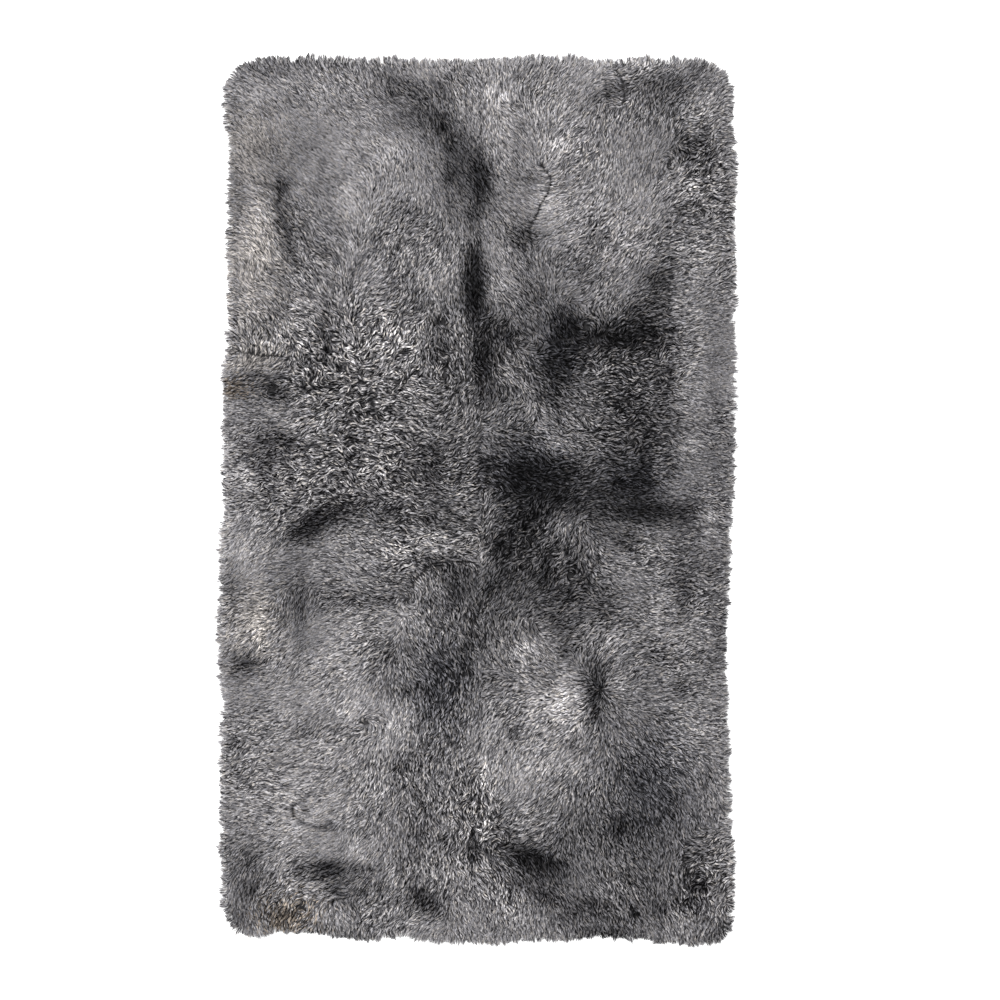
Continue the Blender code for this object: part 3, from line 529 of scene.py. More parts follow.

# Sharp partings and seams between locks, sunk and darkened with painted shade: start x, y, end x, y, half
# width, depth of the painted shade.
partings = [
    (-44.3, 63.3, -38.3, 62.5, .35, .3), (-41.7, 60.7, -39.3, 60.1, .3, .25),
    (-39.9, 59.1, -37.7, 53.1, .6, .32), (-37.7, 53.1, -36.1, 47.7, .7, .32),
    (-36.1, 47.7, -34.3, 46.1, .5, .3), (-30.9, 48.5, -28.9, 49.1, .3, .3),
    (-27.7, 48.5, -27.9, 46.5, .3, .3), (-35.3, 40.7, -30.9, 40.7, .3, .3),
    (-34.9, 29.7, -35.3, 25.1, .35, .3), (-35.3, 25.1, -34.3, 22.1, .35, .3),
    (-34.3, 22.1, -32.3, 22.5, .3, .3), (-46.3, 25.1, -40.3, 24.5, .4, .34),
    (-40.3, 24.5, -40.9, 21.1, .45, .34), (-45.3, 16.5, -42.3, 17.5, .35, .3),
    (-16.9, 57.5, -22.9, 48.5, .4, .2), (-22.9, 48.5, -26.7, 40.1, .4, .2),
    (-9.3, 84.1, -4.7, 79.5, .35, .3), (4.1, 81.1, 5.1, 83.1, .3, .3), (-1.3, 51.1, -.1, 47.7, .35, .34),
    (7.1, 27.7, 10.7, 23.7, .35, .3), (9.3, 64.1, 12.3, 63.9, .35, .3), (44.1, 84.5, 45.9, 88.1, .35, .34),
    (41.3, 81.1, 43.3, 82.7, .35, .3), (-7.3, -.5, -1.3, -4.9, .35, .3), (5.7, .1, 8.7, 3.1, .35, .3),
    (13.7, -2.9, 16.7, .1, .35, .3), (22.7, 1.5, 36.7, 1.5, .6, .26), (44.7, -5.3, 49.1, -5.1, .3, .34),
    (44.1, -5.5, 45.7, -7.3, .3, .34), (-21.3, -31.9, -20.7, -34.9, .3, .3),
    (-20.7, -34.9, -21.5, -36.9, .3, .3), (-32.3, -57.9, -35.3, -60.5, .35, .3),
    (-35.3, -60.5, -33.7, -62.9, .35, .3), (-35.3, -64.3, -31.7, -65.5, .3, .3),
    (-31.7, -65.5, -30.3, -65.1, .3, .3), (-29.3, -64.3, -27.7, -66.9, .3, .3),
    (-19.3, -62.3, -16.3, -57.9, .35, .3), (-13.3, -57.9, -7.3, -64.9, .35, .26),
    (.3, -60.9, .3, -63.9, .4, .3), (-.1, -65.9, -.1, -71.9, .45, .34), (3.1, -48.9, 2.3, -52.9, .3, .26),
    (2.3, -52.9, 2.7, -56.9, .3, .26), (2.7, -56.9, 1.5, -60.9, .3, .26),
    (2.3, -70.9, 4.7, -72.9, .35, .34), (-24.9, -80.9, -21.3, -86.9, .35, .26),
    (-19.3, -70.9, -19.3, -78.9, .35, .26), (38.9, 46.1, 38.5, 4.1, .5, .16), (.9, -2, .9, 17, .5, .16),
    (.7, 46, .9, 84, .45, .1), (.7, -36, .7, -50, .45, .12), (-52, -32.3, -41.5, -32.3, .4, .12),
    (-41.3, -32, -40.9, -2, .45, .12),
]

# Tints in the wool: x, y, reach across, reach along, and 0 for cool, 1 for plain, 2 for warm, 3 for brown.
tintCount = 4
tintPlaces = [
    (-45, 71, 6, 7, 2), (-44, 48, 6, 14, 2), (-45, 28, 5, 3, 2), (-48, 22.5, 3, 2, 3), (-44, -24, 5, 8, 2),
    (-38, -83, 5, 4, 3), (10.5, 7, 7, 6, 0), (30.7, 4.1, 6, 4, 0), (-7.3, -37, 5, 8, 0),
    (34.7, -57, 7, 9, 0), (16, 30, 4, 6, 0),
]

# Where the wool is curly and open, or below zero smooth and combed: x, y, reach across, reach along, amount.
curlyPlaces = [
    (-18, 26, 18, 16, .55), (-20, 5, 22, 8, .55), (28, 25, 12, 16, .5), (44, 65, 5, 10, .55),
    (-32, 25, 6, 6, .4), (10, -5, 8, 10, .35), (-12, -8, 14, 6, .35), (-5, -30, 6, 14, .25),
    (-10, -60, 10, 16, .3), (0, -62, 4, 10, .4), (20, -15, 6, 8, .3), (45, -75, 6, 8, .5),
    (-38, -80, 8, 6, .35), (5, -70, 8, 8, .4), (-30, 70, 16, 18, -.3), (18, 65, 12, 12, -.12),
    (-35, -60, 14, 14, -.16), (45, 20, 6, 18, -.1),
]

# The lie of the wool, how rough it is from smooth to open curls, and how far it sways there in degrees.
comb = {
    "farPull": 1e-4,
    "rimReach": 0.034,
    "rimPull": 0.80,
    "whorlPull": 1.3,
    "spread": 6.0,
    "rough": 0.38,
    "hollowRough": 0.5,
    "roughNoise": (0.030, 31, 0.10),
    "roughRange": (0.05, 1.2),
    "sway": ((0.0036, 21, 29.0), (0.011, 22, 14.0)),
}

# The tone of the wool. Relief is how much more the strands differ where the wool is rough or dark.
tones = {
    "level": 0.71,
    "ovalSquareness": 1.3,
    "hollowShare": 0.70,
    "paleShare": 0.8,
    "mottle": ((0.024, 11, 0.018), (0.010, 12, 0.010)),
    "partingWander": (0.012, 71, 0.0016),
    "relief": (0.25, 1.4),
    "reliefShade": (0.35, 1.2),
    "streaks": ((0.0008, 51), (0.0016, 52)),
    "streakReach": 0.0045,
    "streakSteps": 4,
    "streakTone": (0.08, 0.05),
    "smoothShare": 0.15,
    "gapStart": 1.15,
    "gapRise": 0.7,
    "gapShade": 0.60,
    "edges": ((0.0015, 61), (0.0028, 62)),
    "edgeHalf": 0.32,
    "edgeShadowDepth": (-0.02, 0.60),
    "edgeShown": 0.55,
    "edgeChange": ((0.004, 65, 0.45), (0.004, 66, 0.45)),
}

# How high the wool stands over the rug, from the panels' own height.
heights = {
    "blur": 0.006,
    "rimBand": 0.03,
    "sink": 0.014,
    "sinkBlur": 0.003,
    "partedSink": 0.4,
    "gapSink": 0.25,
    "lift": 0.010,
    "liftBlur": 0.005,
    "lumps": (0.007, 41, 0.0012),
    "least": 0.001,
    "tufts": ((0.0045, 81, 0.32), (0.016, 82, 0.18)),
}


def towards(heading):
    return np.stack((np.cos(heading), np.sin(heading)), axis=-1)


def combed(panel, places):
    # The lie is averaged as a line first, so that facing ways don't make a parting, then given its way.
    total = np.zeros(places.shape[:-1])
    line, pull = np.zeros_like(places), np.zeros_like(places)
    for row in combing[panel]:
        x, y, heading, reach = (*row, usualReach)[:4]
        distance = ((places[..., 0] - x * cm) ** 2 + (places[..., 1] - y * cm) ** 2) / (reach * cm) ** 2
        weight = np.exp(-0.5 * distance) + comb["farPull"] / (1 + distance**2)
        total += weight
        line += weight[..., None] * towards(2 * math.radians(heading))
        pull += weight[..., None] * towards(math.radians(heading))
    line, pull = line / total[..., None], pull / total[..., None]
    for x, y, reach, turn in whorls:
        dx, dy = places[..., 0] - x * cm, places[..., 1] - y * cm
        strength = comb["whorlPull"] * np.exp(-((dx**2 + dy**2) / (reach * cm) ** 2))[..., None]
        around = np.arctan2(dy, dx) + math.radians(turn)
        line += strength * towards(2 * around)
        pull += strength * towards(around)
    out = rug.sampleBoth(rug.out, places)
    outLine = np.stack((out[..., 0] ** 2 - out[..., 1] ** 2, 2 * out[..., 0] * out[..., 1]), axis=-1)
    near = np.clip(1 + rug.sample(rug.edge, places) / comb["rimReach"], 0, 1)
    near = (comb["rimPull"] * near**2 * (3 - 2 * near))[..., None]
    line = line * (1 - near) + near * outLine
    pull = pull * (1 - near) + near * out
    heading = 0.5 * np.arctan2(line[..., 1], line[..., 0])
    return heading + math.pi * ((towards(heading) * pull).sum(axis=-1) < 0)


def patch(x, y, across, along):
    return np.exp(-(((rug.x - x * cm) / (across * cm)) ** 2 + ((rug.y - y * cm) / (along * cm)) ** 2))


def ovals(rows, share=1.0):
    # What is left of the light under a table of oval shades, with a share of their depth.
    left = np.ones_like(rug.x)
    for row in rows:
        x, y, halfLength, halfWidth, depth, heading = (*row, 0)[:6]
        turn = math.radians(heading)
        dx, dy = rug.x - x * cm, rug.y - y * cm
        along = (dx * math.cos(turn) + dy * math.sin(turn)) / (halfLength * cm)
        across = (dy * math.cos(turn) - dx * math.sin(turn)) / (halfWidth * cm)
        left *= 1 - share * depth * np.exp(-0.5 * (along**2 + across**2) ** tones["ovalSquareness"])
    return left


def partingShadeLines():
    # Painted shade along each parting and seam, darkest on its line.
    dark = np.zeros_like(rug.x)
    wander = rug.noise(*tones["partingWander"])
    for x1, y1, x2, y2, halfWidth, depth in partings:
        start = np.array((x1, y1)) * cm
        run = np.array((x2, y2)) * cm - start
        length = np.hypot(*run)
        dx, dy = rug.x - start[0], rug.y - start[1]
        along = (dx * run[0] + dy * run[1]) / length
        across = (dy * run[0] - dx * run[1]) / length + wander
        beyond = np.maximum(np.maximum(-along, along - length), 0)
        distance = np.hypot(across, beyond)
        dark = np.maximum(dark, depth * np.exp(-0.5 * (distance / (halfWidth * cm)) ** 2))
    return dark


class WoolFields:
    def __init__(self):
        self.hollowShade = ovals(hollows, tones["hollowShare"])
        self.pale = 1 / ovals(paleTufts) - 1
        self.partingShade = partingShadeLines()
        self.findLie()
        self.findTone()
        self.findHeight()
        tufts = 0.5 + sum(rug.noise(*noise) for noise in heights["tufts"])
        self.tufts = np.clip(tufts, 0, 1)
        self.tints = [np.zeros_like(rug.x) for _ in range(tintCount)]
        for *spot, tint in tintPlaces:
            self.tints[tint] += patch(*spot)

    def findLie(self):
        rough = np.full_like(rug.x, comb["rough"])
        for *spot, amount in curlyPlaces:
            rough += amount * patch(*spot)
        rough += comb["hollowRough"] * (1 - self.hollowShade) + rug.noise(*comb["roughNoise"])
        self.rough = np.clip(rough, *comb["roughRange"])
        self.sway = self.rough * np.radians(sum(rug.noise(*noise) for noise in comb["sway"]))
        self.flow = rug.out.copy()
        for index, panel in enumerate(panels):
            here = rug.panel == index
            heading = combed(panel, np.stack((rug.x[here], rug.y[here]), axis=-1)) + self.sway[here]
            self.flow[:, here] = np.cos(heading), np.sin(heading)

    def alongWool(self, noises):
        # Smears each noise along the lie of the wool, which draws it out into locks.
        grains = [rug.noise(*noise) for noise in noises]
        totals = [grain.copy() for grain in grains]
        step = tones["streakReach"] / tones["streakSteps"]
        for way in (step, -step):
            places = np.stack((rug.x, rug.y), axis=-1)
            before = np.stack(self.flow, axis=-1)
            for _ in range(tones["streakSteps"]):
                flow = rug.sampleBoth(self.flow, places)
                flow *= np.where((flow * before).sum(axis=-1) < 0, -1, 1)[..., None]
                places = places + way * flow
                before = flow
                for total, grain in zip(totals, grains):
                    total += rug.sample(grain, places)
        return [total / total.std() for total in totals]

    def findTone(self):
        # Painted shade from the broad shades and the hollows, and painted light from the pale tufts.
        shade = ovals(broadPaintedShades) * self.hollowShade
        low, gain = tones["relief"]
        self.relief = (low + gain * self.rough) / np.clip(shade, *tones["reliefShade"])
        light = shade + tones["paleShare"] * self.pale
        tone = tones["level"] * light * (1 - self.partingShade)
        tone += sum(rug.noise(*noise) for noise in tones["mottle"])
        self.shadedGaps = np.zeros_like(tone)
        for streak, strength in zip(self.alongWool(tones["streaks"]), tones["streakTone"]):
            tone *= 1 + strength * (tones["smoothShare"] + self.rough) * streak
            gap = np.clip((-streak - tones["gapStart"]) / tones["gapRise"], 0, 1)
            self.shadedGaps = np.maximum(self.shadedGaps, gap)
        # Painted shade in the gaps between the locks, deeper where the wool is rough; the wool is sunk there
        # too.
        tone *= 1 - tones["gapShade"] * self.rough * self.shadedGaps
        # Each lock ends in a thin painted shadow, cast where it lies over the next, that comes and goes.
        low, gain = tones["edgeShadowDepth"]
        for edge, change in zip(self.alongWool(tones["edges"]), tones["edgeChange"]):
            shown = np.clip(tones["edgeShown"] + rug.noise(*change), 0, 1)
            dark = np.exp(-((edge / tones["edgeHalf"]) ** 2)) * shown
            tone *= 1 - (low + gain * self.rough) * dark
        self.tone = tone

    def findHeight(self):
        inside = np.clip(-rug.edge / heights["rimBand"], 0, 1)
        sunk = (1 - self.hollowShade) + heights["partedSink"] * self.partingShade
        sunk += heights["gapSink"] * self.rough * self.shadedGaps
        height = rug.blurred(rug.rawHeight, heights["blur"])
        height -= heights["sink"] * rug.blurred(sunk, heights["sinkBlur"]) * inside
        height += heights["lift"] * rug.blurred(self.pale, heights["liftBlur"]) * inside
        self.height = np.maximum(height + rug.noise(*heights["lumps"]) * inside, heights["least"])


wool = WoolFields()
print("wool fields drawn")

# The strands of one layer. Heights are above the wool's own height, at each share of the strand's length.
lockLayer = {
    "spacing": 0.0050,
    "strands": 3,
    "inset": 0.002,
    "length": (0.007, 0.013),
    "heights": (-0.0032, 0.0004, 0.0010),
    "gather": (0.0, 0.0, 0.2),
    "halfWidths": (0.35, 1.0, 0.0),
    "halfWidth": 0.00095,
    "rootSpread": 0.0026,
    "lift": 0.0014,
    "lockTone": 0.10,
    "strandTone": 0.19,
    "sideShadow": 0.70,
    "sideLift": 0.0012,
    "toneShift": (-0.25, 0.31),
    "curl": 17.0,
    "rimReach": (0.003, 0.019),
    "rimGrowth": 0.6,
    "behind": 0.45,
}

fillLayer = {
    "spacing": 0.0058,
    "strands": 1,
    "inset": 0.003,
    "length": (0.014, 0.022),
    "heights": (-0.010, -0.0030, -0.0010),
    "gather": (0.0, 0.0, 0.0),
    "halfWidths": (1.0, 0.9, 0.0),
    "halfWidth": 0.0016,
    "rootSpread": 0.0,
    "lift": 0.0015,
    "lockTone": 0.08,
    "strandTone": 0.0,
    "sideShadow": 0.0,
    # Darker, and more so where the wool is rough: painted shade in the gaps under the locks.
    "toneShift": (-0.10, -0.22),
    "curl": 20.0,
    "rimReach": (0.002, 0.012),
    "rimGrowth": 0.0,
    "behind": 0.5,
}

# What both layers share.
common = {
    "shares": (0.0, 0.5, 1.0),
    "rootShift": 0.42,
    "rimBand": 0.02,
    "shortest": 0.007,
    "rimRange": (0.85, 1.1),
    "curlBase": 0.5,
    "straightShare": 0.3,
    "leaning": (1.6, 0.1),
    "widthRange": (0.6, 1.25),
    "alongShare": 0.8,
    "strandLift": 0.5,
    "liftByRough": (0.4, 0.8),
    "shadowRange": (0.4, 1.3),
    "darkestShadow": 0.95,
    "roll": 38.0,
    "rollByRough": (0.3, 0.7),
    "settleHeight": 0.02,
    "settleLeast": 0.15,
    "floor": (0.0006, 0.0004),
    "rimBacklight": 0.04,
    "tipBand": 0.012,
    "toneRange": (0.01, 0.99),
    "bandRange": (0.03, 0.97),
    "mapFaceWidth": 0.0012,
    "tintChance": {"cool": 0.12, "warm": 0.20, "patch": 0.85},
}


def scatter(panel, spacing, inset, random):
    # Roots on a staggered grid, each moved a little, kept where this panel lies.
    low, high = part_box(panel)
    columns = np.arange(low.x, high.x, spacing)
    rows = np.arange(low.y, high.y, spacing * math.sqrt(3) / 2)
    x, y = np.meshgrid(columns, rows)
    x = x + (np.arange(len(rows)) % 2)[:, None] * spacing / 2
    places = np.stack((x.ravel(), y.ravel()), axis=-1)
    shift = common["rootShift"]
    places = places + random.uniform(-shift, shift, places.shape) * spacing
    owners = rug.panelAt(places + rug.sampleBoth(rug.wander, places))
    return places[(owners == panels.index(panel)) & (rug.sample(rug.edge, places) < -inset)]


def darkLeaning(chance):
    # A chance that darkens counts for much more than one that lightens.
    darker, lighter = common["leaning"]
    return np.where(chance < 0, darker, lighter) * chance


def lockPaths(panel, layer, random):
    # Where each lock's middle runs: a place and a heading at each share of its length.
    roots = scatter(panel, layer["spacing"], layer["inset"], random)
    count = len(roots)
    rough = rug.sample(wool.rough, roots)
    deviation = np.radians(comb["spread"]) * random.standard_normal(count)
    curl = np.radians(layer["curl"] * (common["curlBase"] + rough)) * random.standard_normal(count)
    length = random.uniform(*layer["length"], count)
    inside = -rug.sample(rug.edge, roots)
    inland = np.clip(inside / common["rimBand"], 0, 1)
    length *= 1 + layer["rimGrowth"] * (1 - inland)
    # Near the rim a tuft's hairs all run about as far past the edge as each other.
    rimLow, rimHigh = layer["rimReach"]
    reach = inside + rimLow + (rimHigh - rimLow) * rug.sample(wool.tufts, roots)
    reach *= random.uniform(*common["rimRange"], count)
    length = np.minimum(length, np.maximum(reach, common["shortest"]))

    # A strand lies about its place, so that the wool is as dense where its lie turns back on itself.
    backwards = layer["behind"] * inland * length
    first = combed(panel, roots) + rug.sample(wool.sway, roots)
    centres = [roots - backwards[:, None] * towards(first)]
    headings = []
    shares = common["shares"]
    for share, nextShare in zip(shares, shares[1:]):
        heading = combed(panel, centres[-1]) + rug.sample(wool.sway, centres[-1])
        heading = heading + deviation + curl * (share - common["straightShare"])
        if headings:
            heading = heading + math.pi * (np.cos(heading - headings[-1]) < 0)
        headings.append(heading)
        centres.append(centres[-1] + (length * (nextShare - share))[:, None] * towards(heading))
    headings.append(headings[-1])
    return centres, headings, rough, np.clip(1 - inside / common["tipBand"], 0, 1)


def pickTint(places, random):
    chances = common["tintChance"]
    chance = random.uniform(0, 1, len(places))
    tint = np.where(chance < chances["cool"], 0, np.where(chance > 1 - chances["warm"], 2, 1))
    chance = random.uniform(0, 1, len(places))
    for kind in (0, 2, 3):
        tint = np.where(chance < chances["patch"] * rug.sample(wool.tints[kind], places), kind, tint)
    return tint


def strandTraits(layer, roots, rough, random):
    # What sets the strands of a lock apart: tone, tint and size, and how they lie beside its middle.
    count, strands = len(rough), layer["strands"]
    total = count * strands
    shift = layer["toneShift"][0] + layer["toneShift"][1] * rough
    lockTone = layer["lockTone"] * (tones["smoothShare"] + rough)
    lockTone = np.repeat(1 + shift + lockTone * darkLeaning(random.standard_normal(count)), strands)
    liftBase, liftGain = common["liftByRough"]
    lockLift = layer["lift"] * (liftBase + liftGain * rough) * random.uniform(-1, 1, count)
    offAcross = layer["rootSpread"] * random.uniform(-1, 1, total)
    offAlong = common["alongShare"] * layer["rootSpread"] * random.uniform(-1, 1, total)
    width = layer["halfWidth"] * random.uniform(*common["widthRange"], total)
    relief = rug.sample(wool.relief, roots)
    strandTone = layer["strandTone"] * np.repeat(relief, strands)
    tone = lockTone + strandTone * darkLeaning(random.standard_normal(total))
    lift = np.repeat(lockLift, strands) + common["strandLift"] * layer["lift"] * random.uniform(-1, 1, total)
    if layer["sideShadow"]:
        # One strand of each lock lies along its side, in the lock's own shadow.
        atSide = np.arange(total) % strands == 0
        shadow = layer["sideShadow"] * relief * random.uniform(*common["shadowRange"], count)
        tone[atSide] *= 1 - np.clip(shadow, 0, common["darkestShadow"])
        offAcross[atSide] = layer["rootSpread"] * np.where(random.uniform(0, 1, count) < 0.5, -1, 1)
        lift[atSide] += layer["sideLift"]
    rollBase, rollGain = common["rollByRough"]
    roll = np.radians(common["roll"]) * np.repeat(rollBase + rollGain * rough, strands)
    roll = roll * random.uniform(-1, 1, total)
    tint = pickTint(np.repeat(roots, strands, axis=0), random)
    return tone, tint, width, lift, roll, offAcross, offAlong


def growStrands(panel, layer, random):
    centres, headings, rough, atRim = lockPaths(panel, layer, random)
    tone, tint, width, lift, roll, offAcross, offAlong = strandTraits(layer, centres[0], rough, random)
    strands = layer["strands"]
    # Painted light: strand tips near the rim grow paler, as if the bright floor lit them from behind.
    rimBacklight = common["rimBacklight"] * np.repeat(atRim, strands)
    lowest, lowestEdge = common["floor"]
    bandStart, bandEnd = common["bandRange"]
    points, maps = [], []
    for section, share in enumerate(common["shares"]):
        heading = np.repeat(headings[section], strands)
        across = towards(heading + math.pi / 2)
        offset = across * (offAcross * (1 - layer["gather"][section]))[:, None]
        offset += towards(heading) * offAlong[:, None]
        flat = np.repeat(centres[section], strands, axis=0) + offset
        ground = rug.sample(wool.height, flat)
        settle = np.clip(ground / common["settleHeight"], common["settleLeast"], 1)
        z = np.maximum(ground + (layer["heights"][section] + lift) * settle, lowest)
        shade = np.clip(rug.sample(wool.tone, flat) * tone + rimBacklight * share, *common["toneRange"])
        fibre = (tint + bandStart + (bandEnd - bandStart) * share) / tintCount
        half = width * layer["halfWidths"][section]
        for side in ((1, -1) if half.any() else (0,)):
            edge = flat + across * (side * half * np.cos(roll))[:, None]
            edgeHeight = np.maximum(z + side * half * np.sin(roll), lowestEdge)
            points.append(np.concatenate((edge, edgeHeight[:, None]), axis=1))
            maps.append(np.stack((shade + side * common["mapFaceWidth"], fibre), axis=1))
    return np.stack(points, axis=1), np.stack(maps, axis=1)


# A strand's five corners run in pairs to a pointed tip: a face of four corners, then one of three.
strandFaces = {"loops": (0, 1, 3, 2, 2, 3, 4), "starts": (0, 4)}


def strandMesh(name, layers, material):
    points, maps = (np.concatenate(parts) for parts in zip(*layers))
    number = np.arange(len(points))[:, None]
    loops = (points.shape[1] * number + np.array(strandFaces["loops"])).ravel()
    starts = (len(strandFaces["loops"]) * number + np.array(strandFaces["starts"])).ravel()
    mesh = bpy.data.meshes.new(name)
    mesh.vertices.add(points.size // 3)
    mesh.vertices.foreach_set("co", points.astype(np.float32).ravel())
    mesh.loops.add(len(loops))
    mesh.loops.foreach_set("vertex_index", loops.astype(np.int32))
    mesh.polygons.add(len(starts))
    mesh.polygons.foreach_set("loop_start", starts.astype(np.int32))
    mesh.update(calc_edges=True)
    layer = mesh.uv_layers.new(name="OFBake")
    layer.uv.foreach_set("vector", maps.reshape(-1, 2)[loops].astype(np.float32).ravel())
    mesh.shade_smooth()
    mesh.materials.append(material)
    return placed(name, mesh)


# Combed sheepskin wool: matt keratin fibre, dark and dense at the root, partly painted shade there, bleached
# at the tip.
woolFinish = {
    "tones": (
        (0.0, "#000000"),
        (0.10, "#151516"),
        (0.25, "#404042"),
        (0.5, "#807f80"),
        (0.75, "#c0bebd"),
        (1.0, "#fffdfa"),
    ),
    "fibre": ((0.0, "#a8a8a8"), (0.25, "#eaeaea"), (0.5, "#ffffff"), (1.0, "#eeeeee")),
    "tints": ((0.0, "#f7f7fe"), (0.25, "#fcfafc"), (0.5, "#fef8f2"), (0.75, "#f6e6d3")),
    "crimpShading": 0.14,
    "crimpWaves": 2.0,
    "crimpShift": 90.0,
    "surface": {"Roughness": 0.62, "IOR": 1.55, "Specular IOR Level": 0.02},
}


def woolMaterial():
    material, tree = newMaterial("combed_sheepskin_wool")
    place = addNode(tree, "ShaderNodeUVMap", {"uv_map": "OFBake"})
    split = addNode(tree, "ShaderNodeSeparateXYZ", links={0: place.outputs[0]})
    shade, band = split.outputs[0], split.outputs[1]
    along = addMath(tree, "FRACT", addMath(tree, "MULTIPLY", band, tintCount))
    # The crimp: painted light and shade in waves along the fibre, where its crimp would catch the light, out
    # of step from one strand to the next.
    phase = addMath(tree, "MULTIPLY", shade, woolFinish["crimpShift"])
    angle = addMath(tree, "MULTIPLY_ADD", along, 2 * math.pi * woolFinish["crimpWaves"], phase)
    crimpShading = addMath(tree, "MULTIPLY_ADD", addMath(tree, "SINE", angle), woolFinish["crimpShading"], 1.0)
    # Darker towards the root: partly the wool's own colour, partly painted shade where other strands cover
    # it.
    fibre = addRamp(tree, along, woolFinish["fibre"])
    tint = addRamp(tree, band, woolFinish["tints"], "CONSTANT")
    colour = addRamp(tree, shade, woolFinish["tones"])
    mix = {"data_type": "RGBA", "blend_type": "MULTIPLY", 0: 1.0}
    for factor in (crimpShading, fibre, tint):
        colour = addNode(tree, "ShaderNodeMix", mix, {6: colour, 7: factor}).outputs[2]
    return surfaced(material, woolFinish["surface"], {"Base Color": colour})


# Felted underwool: the dense dark mat at the roots, in clumps that are a few millimetres across; its
# near-black is partly painted shade between the locks.
feltShadeFinish = {
    "clouds": {"Scale": 125.0, "Detail": 4.0},
    # Nearly black: partly painted shade that fills the gaps between the locks.
    "stops": ((0.35, "#0d0d0f"), (0.65, "#2e2c2e")),
    "bump": {"Strength": 0.7, "Distance": 0.0015},
    "surface": {"Roughness": 0.95},
}

# Suede hide: the flesh side of the skin, buffed, with pores and a faint cloudy tan.
hideFinish = {
    "clouds": {"Scale": 1 / 0.060, "Detail": 6.0, "Roughness": 0.6},
    "pores": {"Scale": 1 / 0.0012},
    "stops": ((0.35, "#b39c80"), (0.68, "#d3c1a6")),
    "bump": {"Strength": 0.5, "Distance": 0.0004},
    "surface": {"Roughness": 0.9, "Sheen Weight": 0.3},
}


def mattMaterial(name, finish):
    # Clouds of two colours, with the pores raised if there are any, or else the clouds themselves.
    material, tree = newMaterial(name)
    place = {"Vector": addNode(tree, "ShaderNodeTexCoord").outputs["Object"]}
    clouds = addNode(tree, "ShaderNodeTexNoise", finish["clouds"], place).outputs[0]
    raised = clouds
    if "pores" in finish:
        raised = addNode(tree, "ShaderNodeTexVoronoi", finish["pores"], place).outputs[0]
    bump = addNode(tree, "ShaderNodeBump", finish["bump"], {"Height": raised}).outputs[0]
    colour = addRamp(tree, clouds, finish["stops"])
    return surfaced(material, finish["surface"], {"Base Color": colour, "Normal": bump})


feltShape = {"share": 0.52, "inset": 0.010, "floor": 0.0028, "cover": 0.010}
hideShape = {"inset": 0.010, "lift": 0.0006, "thickness": 0.0018}
baseHeight = 0.0002
joinDistance = 0.00005


def frameShape(panel):
    # The panel's solid as a bmesh of its own, its split corners joined again.
    shape = bmesh.new()
    shape.from_mesh(frame["nodes"][panel].data)
    bmesh.ops.remove_doubles(shape, verts=shape.verts, dist=joinDistance)
    return shape


def drawnIn(shape, inset):
    # The shape's corners, with those near the rim moved inwards, away from the edge.
    places = np.array([vertex.co for vertex in shape.verts])
    outside = np.maximum(rug.sample(rug.edge, places) + inset, 0)
    places[:, :2] -= rug.sampleBoth(rug.out, places) * outside[:, None]
    return places


def moveCorners(shape, places):
    for vertex, place in zip(shape.verts, places):
        vertex.co = place


def finishedObject(name, shape, material, smooth=True):
    bmesh.ops.recalc_face_normals(shape, faces=shape.faces)
    mesh = bpy.data.meshes.new(name)
    shape.to_mesh(mesh)
    shape.free()
    if smooth:
        mesh.shade_smooth()
    mesh.materials.append(material)
    return placed(name, mesh)


def underwool(panel, material):
    # The panel's own form, sunk under the strands, finer and clumped, its edge drawn in from the rim.
    shape = frameShape(panel)
    bmesh.ops.subdivide_edges(shape, edges=shape.edges, cuts=1, use_grid_fill=True)
    places = drawnIn(shape, feltShape["inset"])
    floor = feltShape["floor"]
    top = floor + feltShape["share"] * places[:, 2]
    top = np.minimum(top, np.maximum(rug.sample(wool.height, places) - feltShape["cover"], floor))
    places[:, 2] = np.where(places[:, 2] < baseHeight, floor - baseHeight, top + baseHeight)
    moveCorners(shape, places)
    return finishedObject(f"{panel}_underwool", shape, material)


def hide(panel, material):
    # The flat skin under the wool, cut to the panel and drawn in where the wool hangs over the edge.
    shape = frameShape(panel)
    upper = [face for face in shape.faces if max(vertex.co.z for vertex in face.verts) > baseHeight]
    bmesh.ops.delete(shape, geom=upper, context="FACES")
    places = drawnIn(shape, hideShape["inset"])
    places[:, 2] = hideShape["lift"]
    moveCorners(shape, places)
    area = sum(face.calc_area() for face in shape.faces)
    grown = bmesh.ops.extrude_face_region(shape, geom=list(shape.faces))
    lifted = [item for item in grown["geom"] if isinstance(item, bmesh.types.BMVert)]
    bmesh.ops.translate(shape, verts=lifted, vec=(0, 0, hideShape["thickness"]))
    return finishedObject(f"{panel}_hide", shape, material, smooth=False), area


largePanel = 0.25
firstSeed = 100


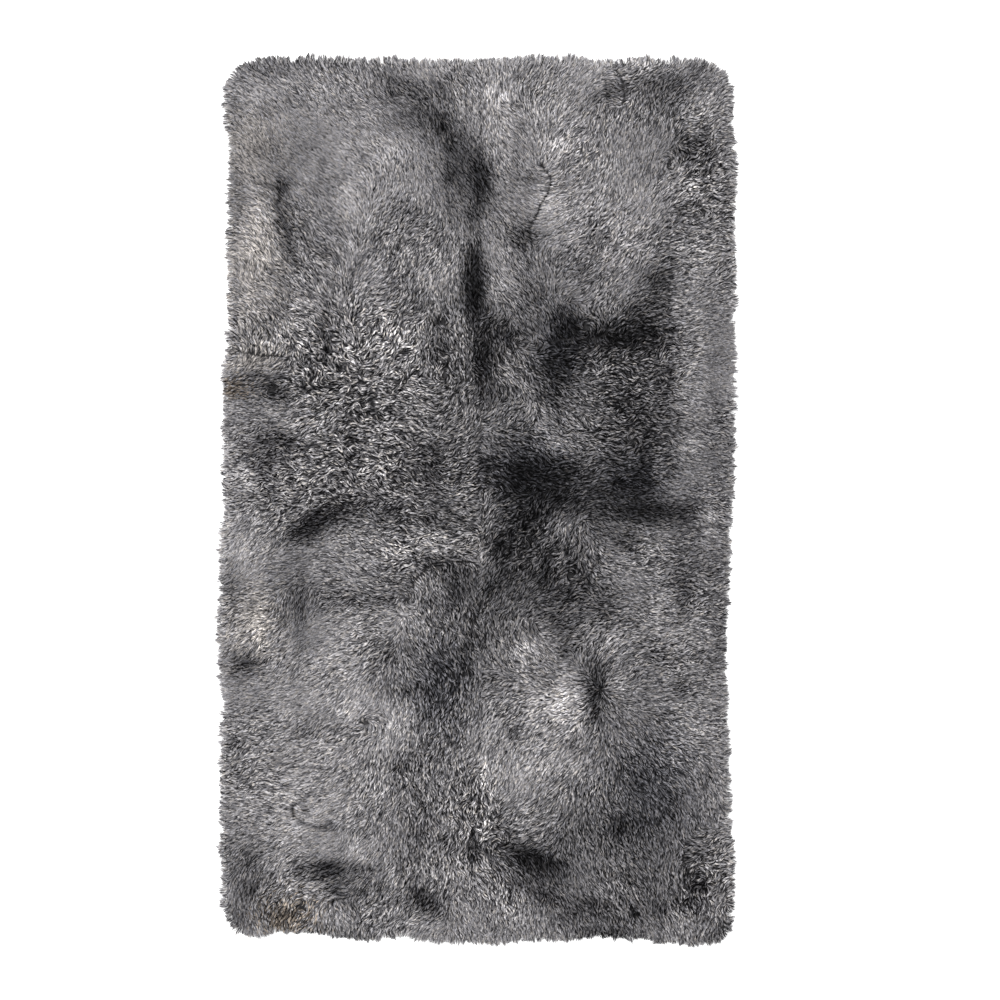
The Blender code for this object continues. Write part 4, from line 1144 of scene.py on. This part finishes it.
def buildPanel(panel, finishes, seed):
    random = np.random.default_rng(seed)
    hidePiece, area = hide(panel, finishes["hide"])
    felt = underwool(panel, finishes["felt"])
    fill = growStrands(panel, fillLayer, random)
    locks = growStrands(panel, lockLayer, random)
    # A large skin's strands are two meshes, so that neither grows too heavy.
    parts = {"short_wool": [fill], "locks": [locks]} if area > largePanel else {"locks": [fill, locks]}
    woolPieces = [strandMesh(f"{panel}_{part}", layers, finishes["wool"]) for part, layers in parts.items()]
    for piece in (hidePiece, felt, *woolPieces):
        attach(piece, "root")
    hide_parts(panel)
    triangles = sum(len(piece.data.loops) - 2 * len(piece.data.polygons) for piece in (felt, *woolPieces))
    print(panel, "triangles", triangles)


finishes = {
    "wool": woolMaterial(),
    "felt": mattMaterial("underwool_painted_shade", feltShadeFinish),
    "hide": mattMaterial("buffed_suede_hide", hideFinish),
}
for number, panel in enumerate(panels):
    buildPanel(panel, finishes, firstSeed + number)
print("wool grown")

studio = {
    "floor": 12.0,
    "floorColour": "#f7f7f7",
    "floorRoughness": 0.9,
    "lampSize": 4.5,
    "lampPlace": (-1.4, 1.6, 6.2),
    "lampPower": 900.0,
    "skyColour": "#ffffff",
    "skyStrength": 0.55,
}


def buildStudio():
    material, _ = newMaterial("matt_studio_floor")
    surfaced(material, {"Base Color": toLinear(studio["floorColour"]), "Roughness": studio["floorRoughness"]})
    shape = bmesh.new()
    bmesh.ops.create_grid(shape, x_segments=4, y_segments=4, size=studio["floor"] / 2)
    finishedObject("studio_floor", shape, material, smooth=False)

    lampData = bpy.data.lights.new("soft_box", "AREA")
    lampData.shape = "SQUARE"
    lampData.size = studio["lampSize"]
    lampData.energy = studio["lampPower"]
    lamp = placed("soft_box", lampData)
    lamp.location = studio["lampPlace"]
    lamp.rotation_euler = (-Vector(studio["lampPlace"])).to_track_quat("-Z", "Y").to_euler()
    lamp.visible_camera = False

    world = bpy.data.worlds.new("studio_sky")
    world.use_nodes = True
    sky = world.node_tree.nodes["Background"]
    sky.inputs["Color"].default_value = toLinear(studio["skyColour"])
    sky.inputs["Strength"].default_value = studio["skyStrength"]
    bpy.context.scene.world = world
    bpy.context.scene.view_settings.view_transform = "Standard"


buildStudio()
print("studio lit")
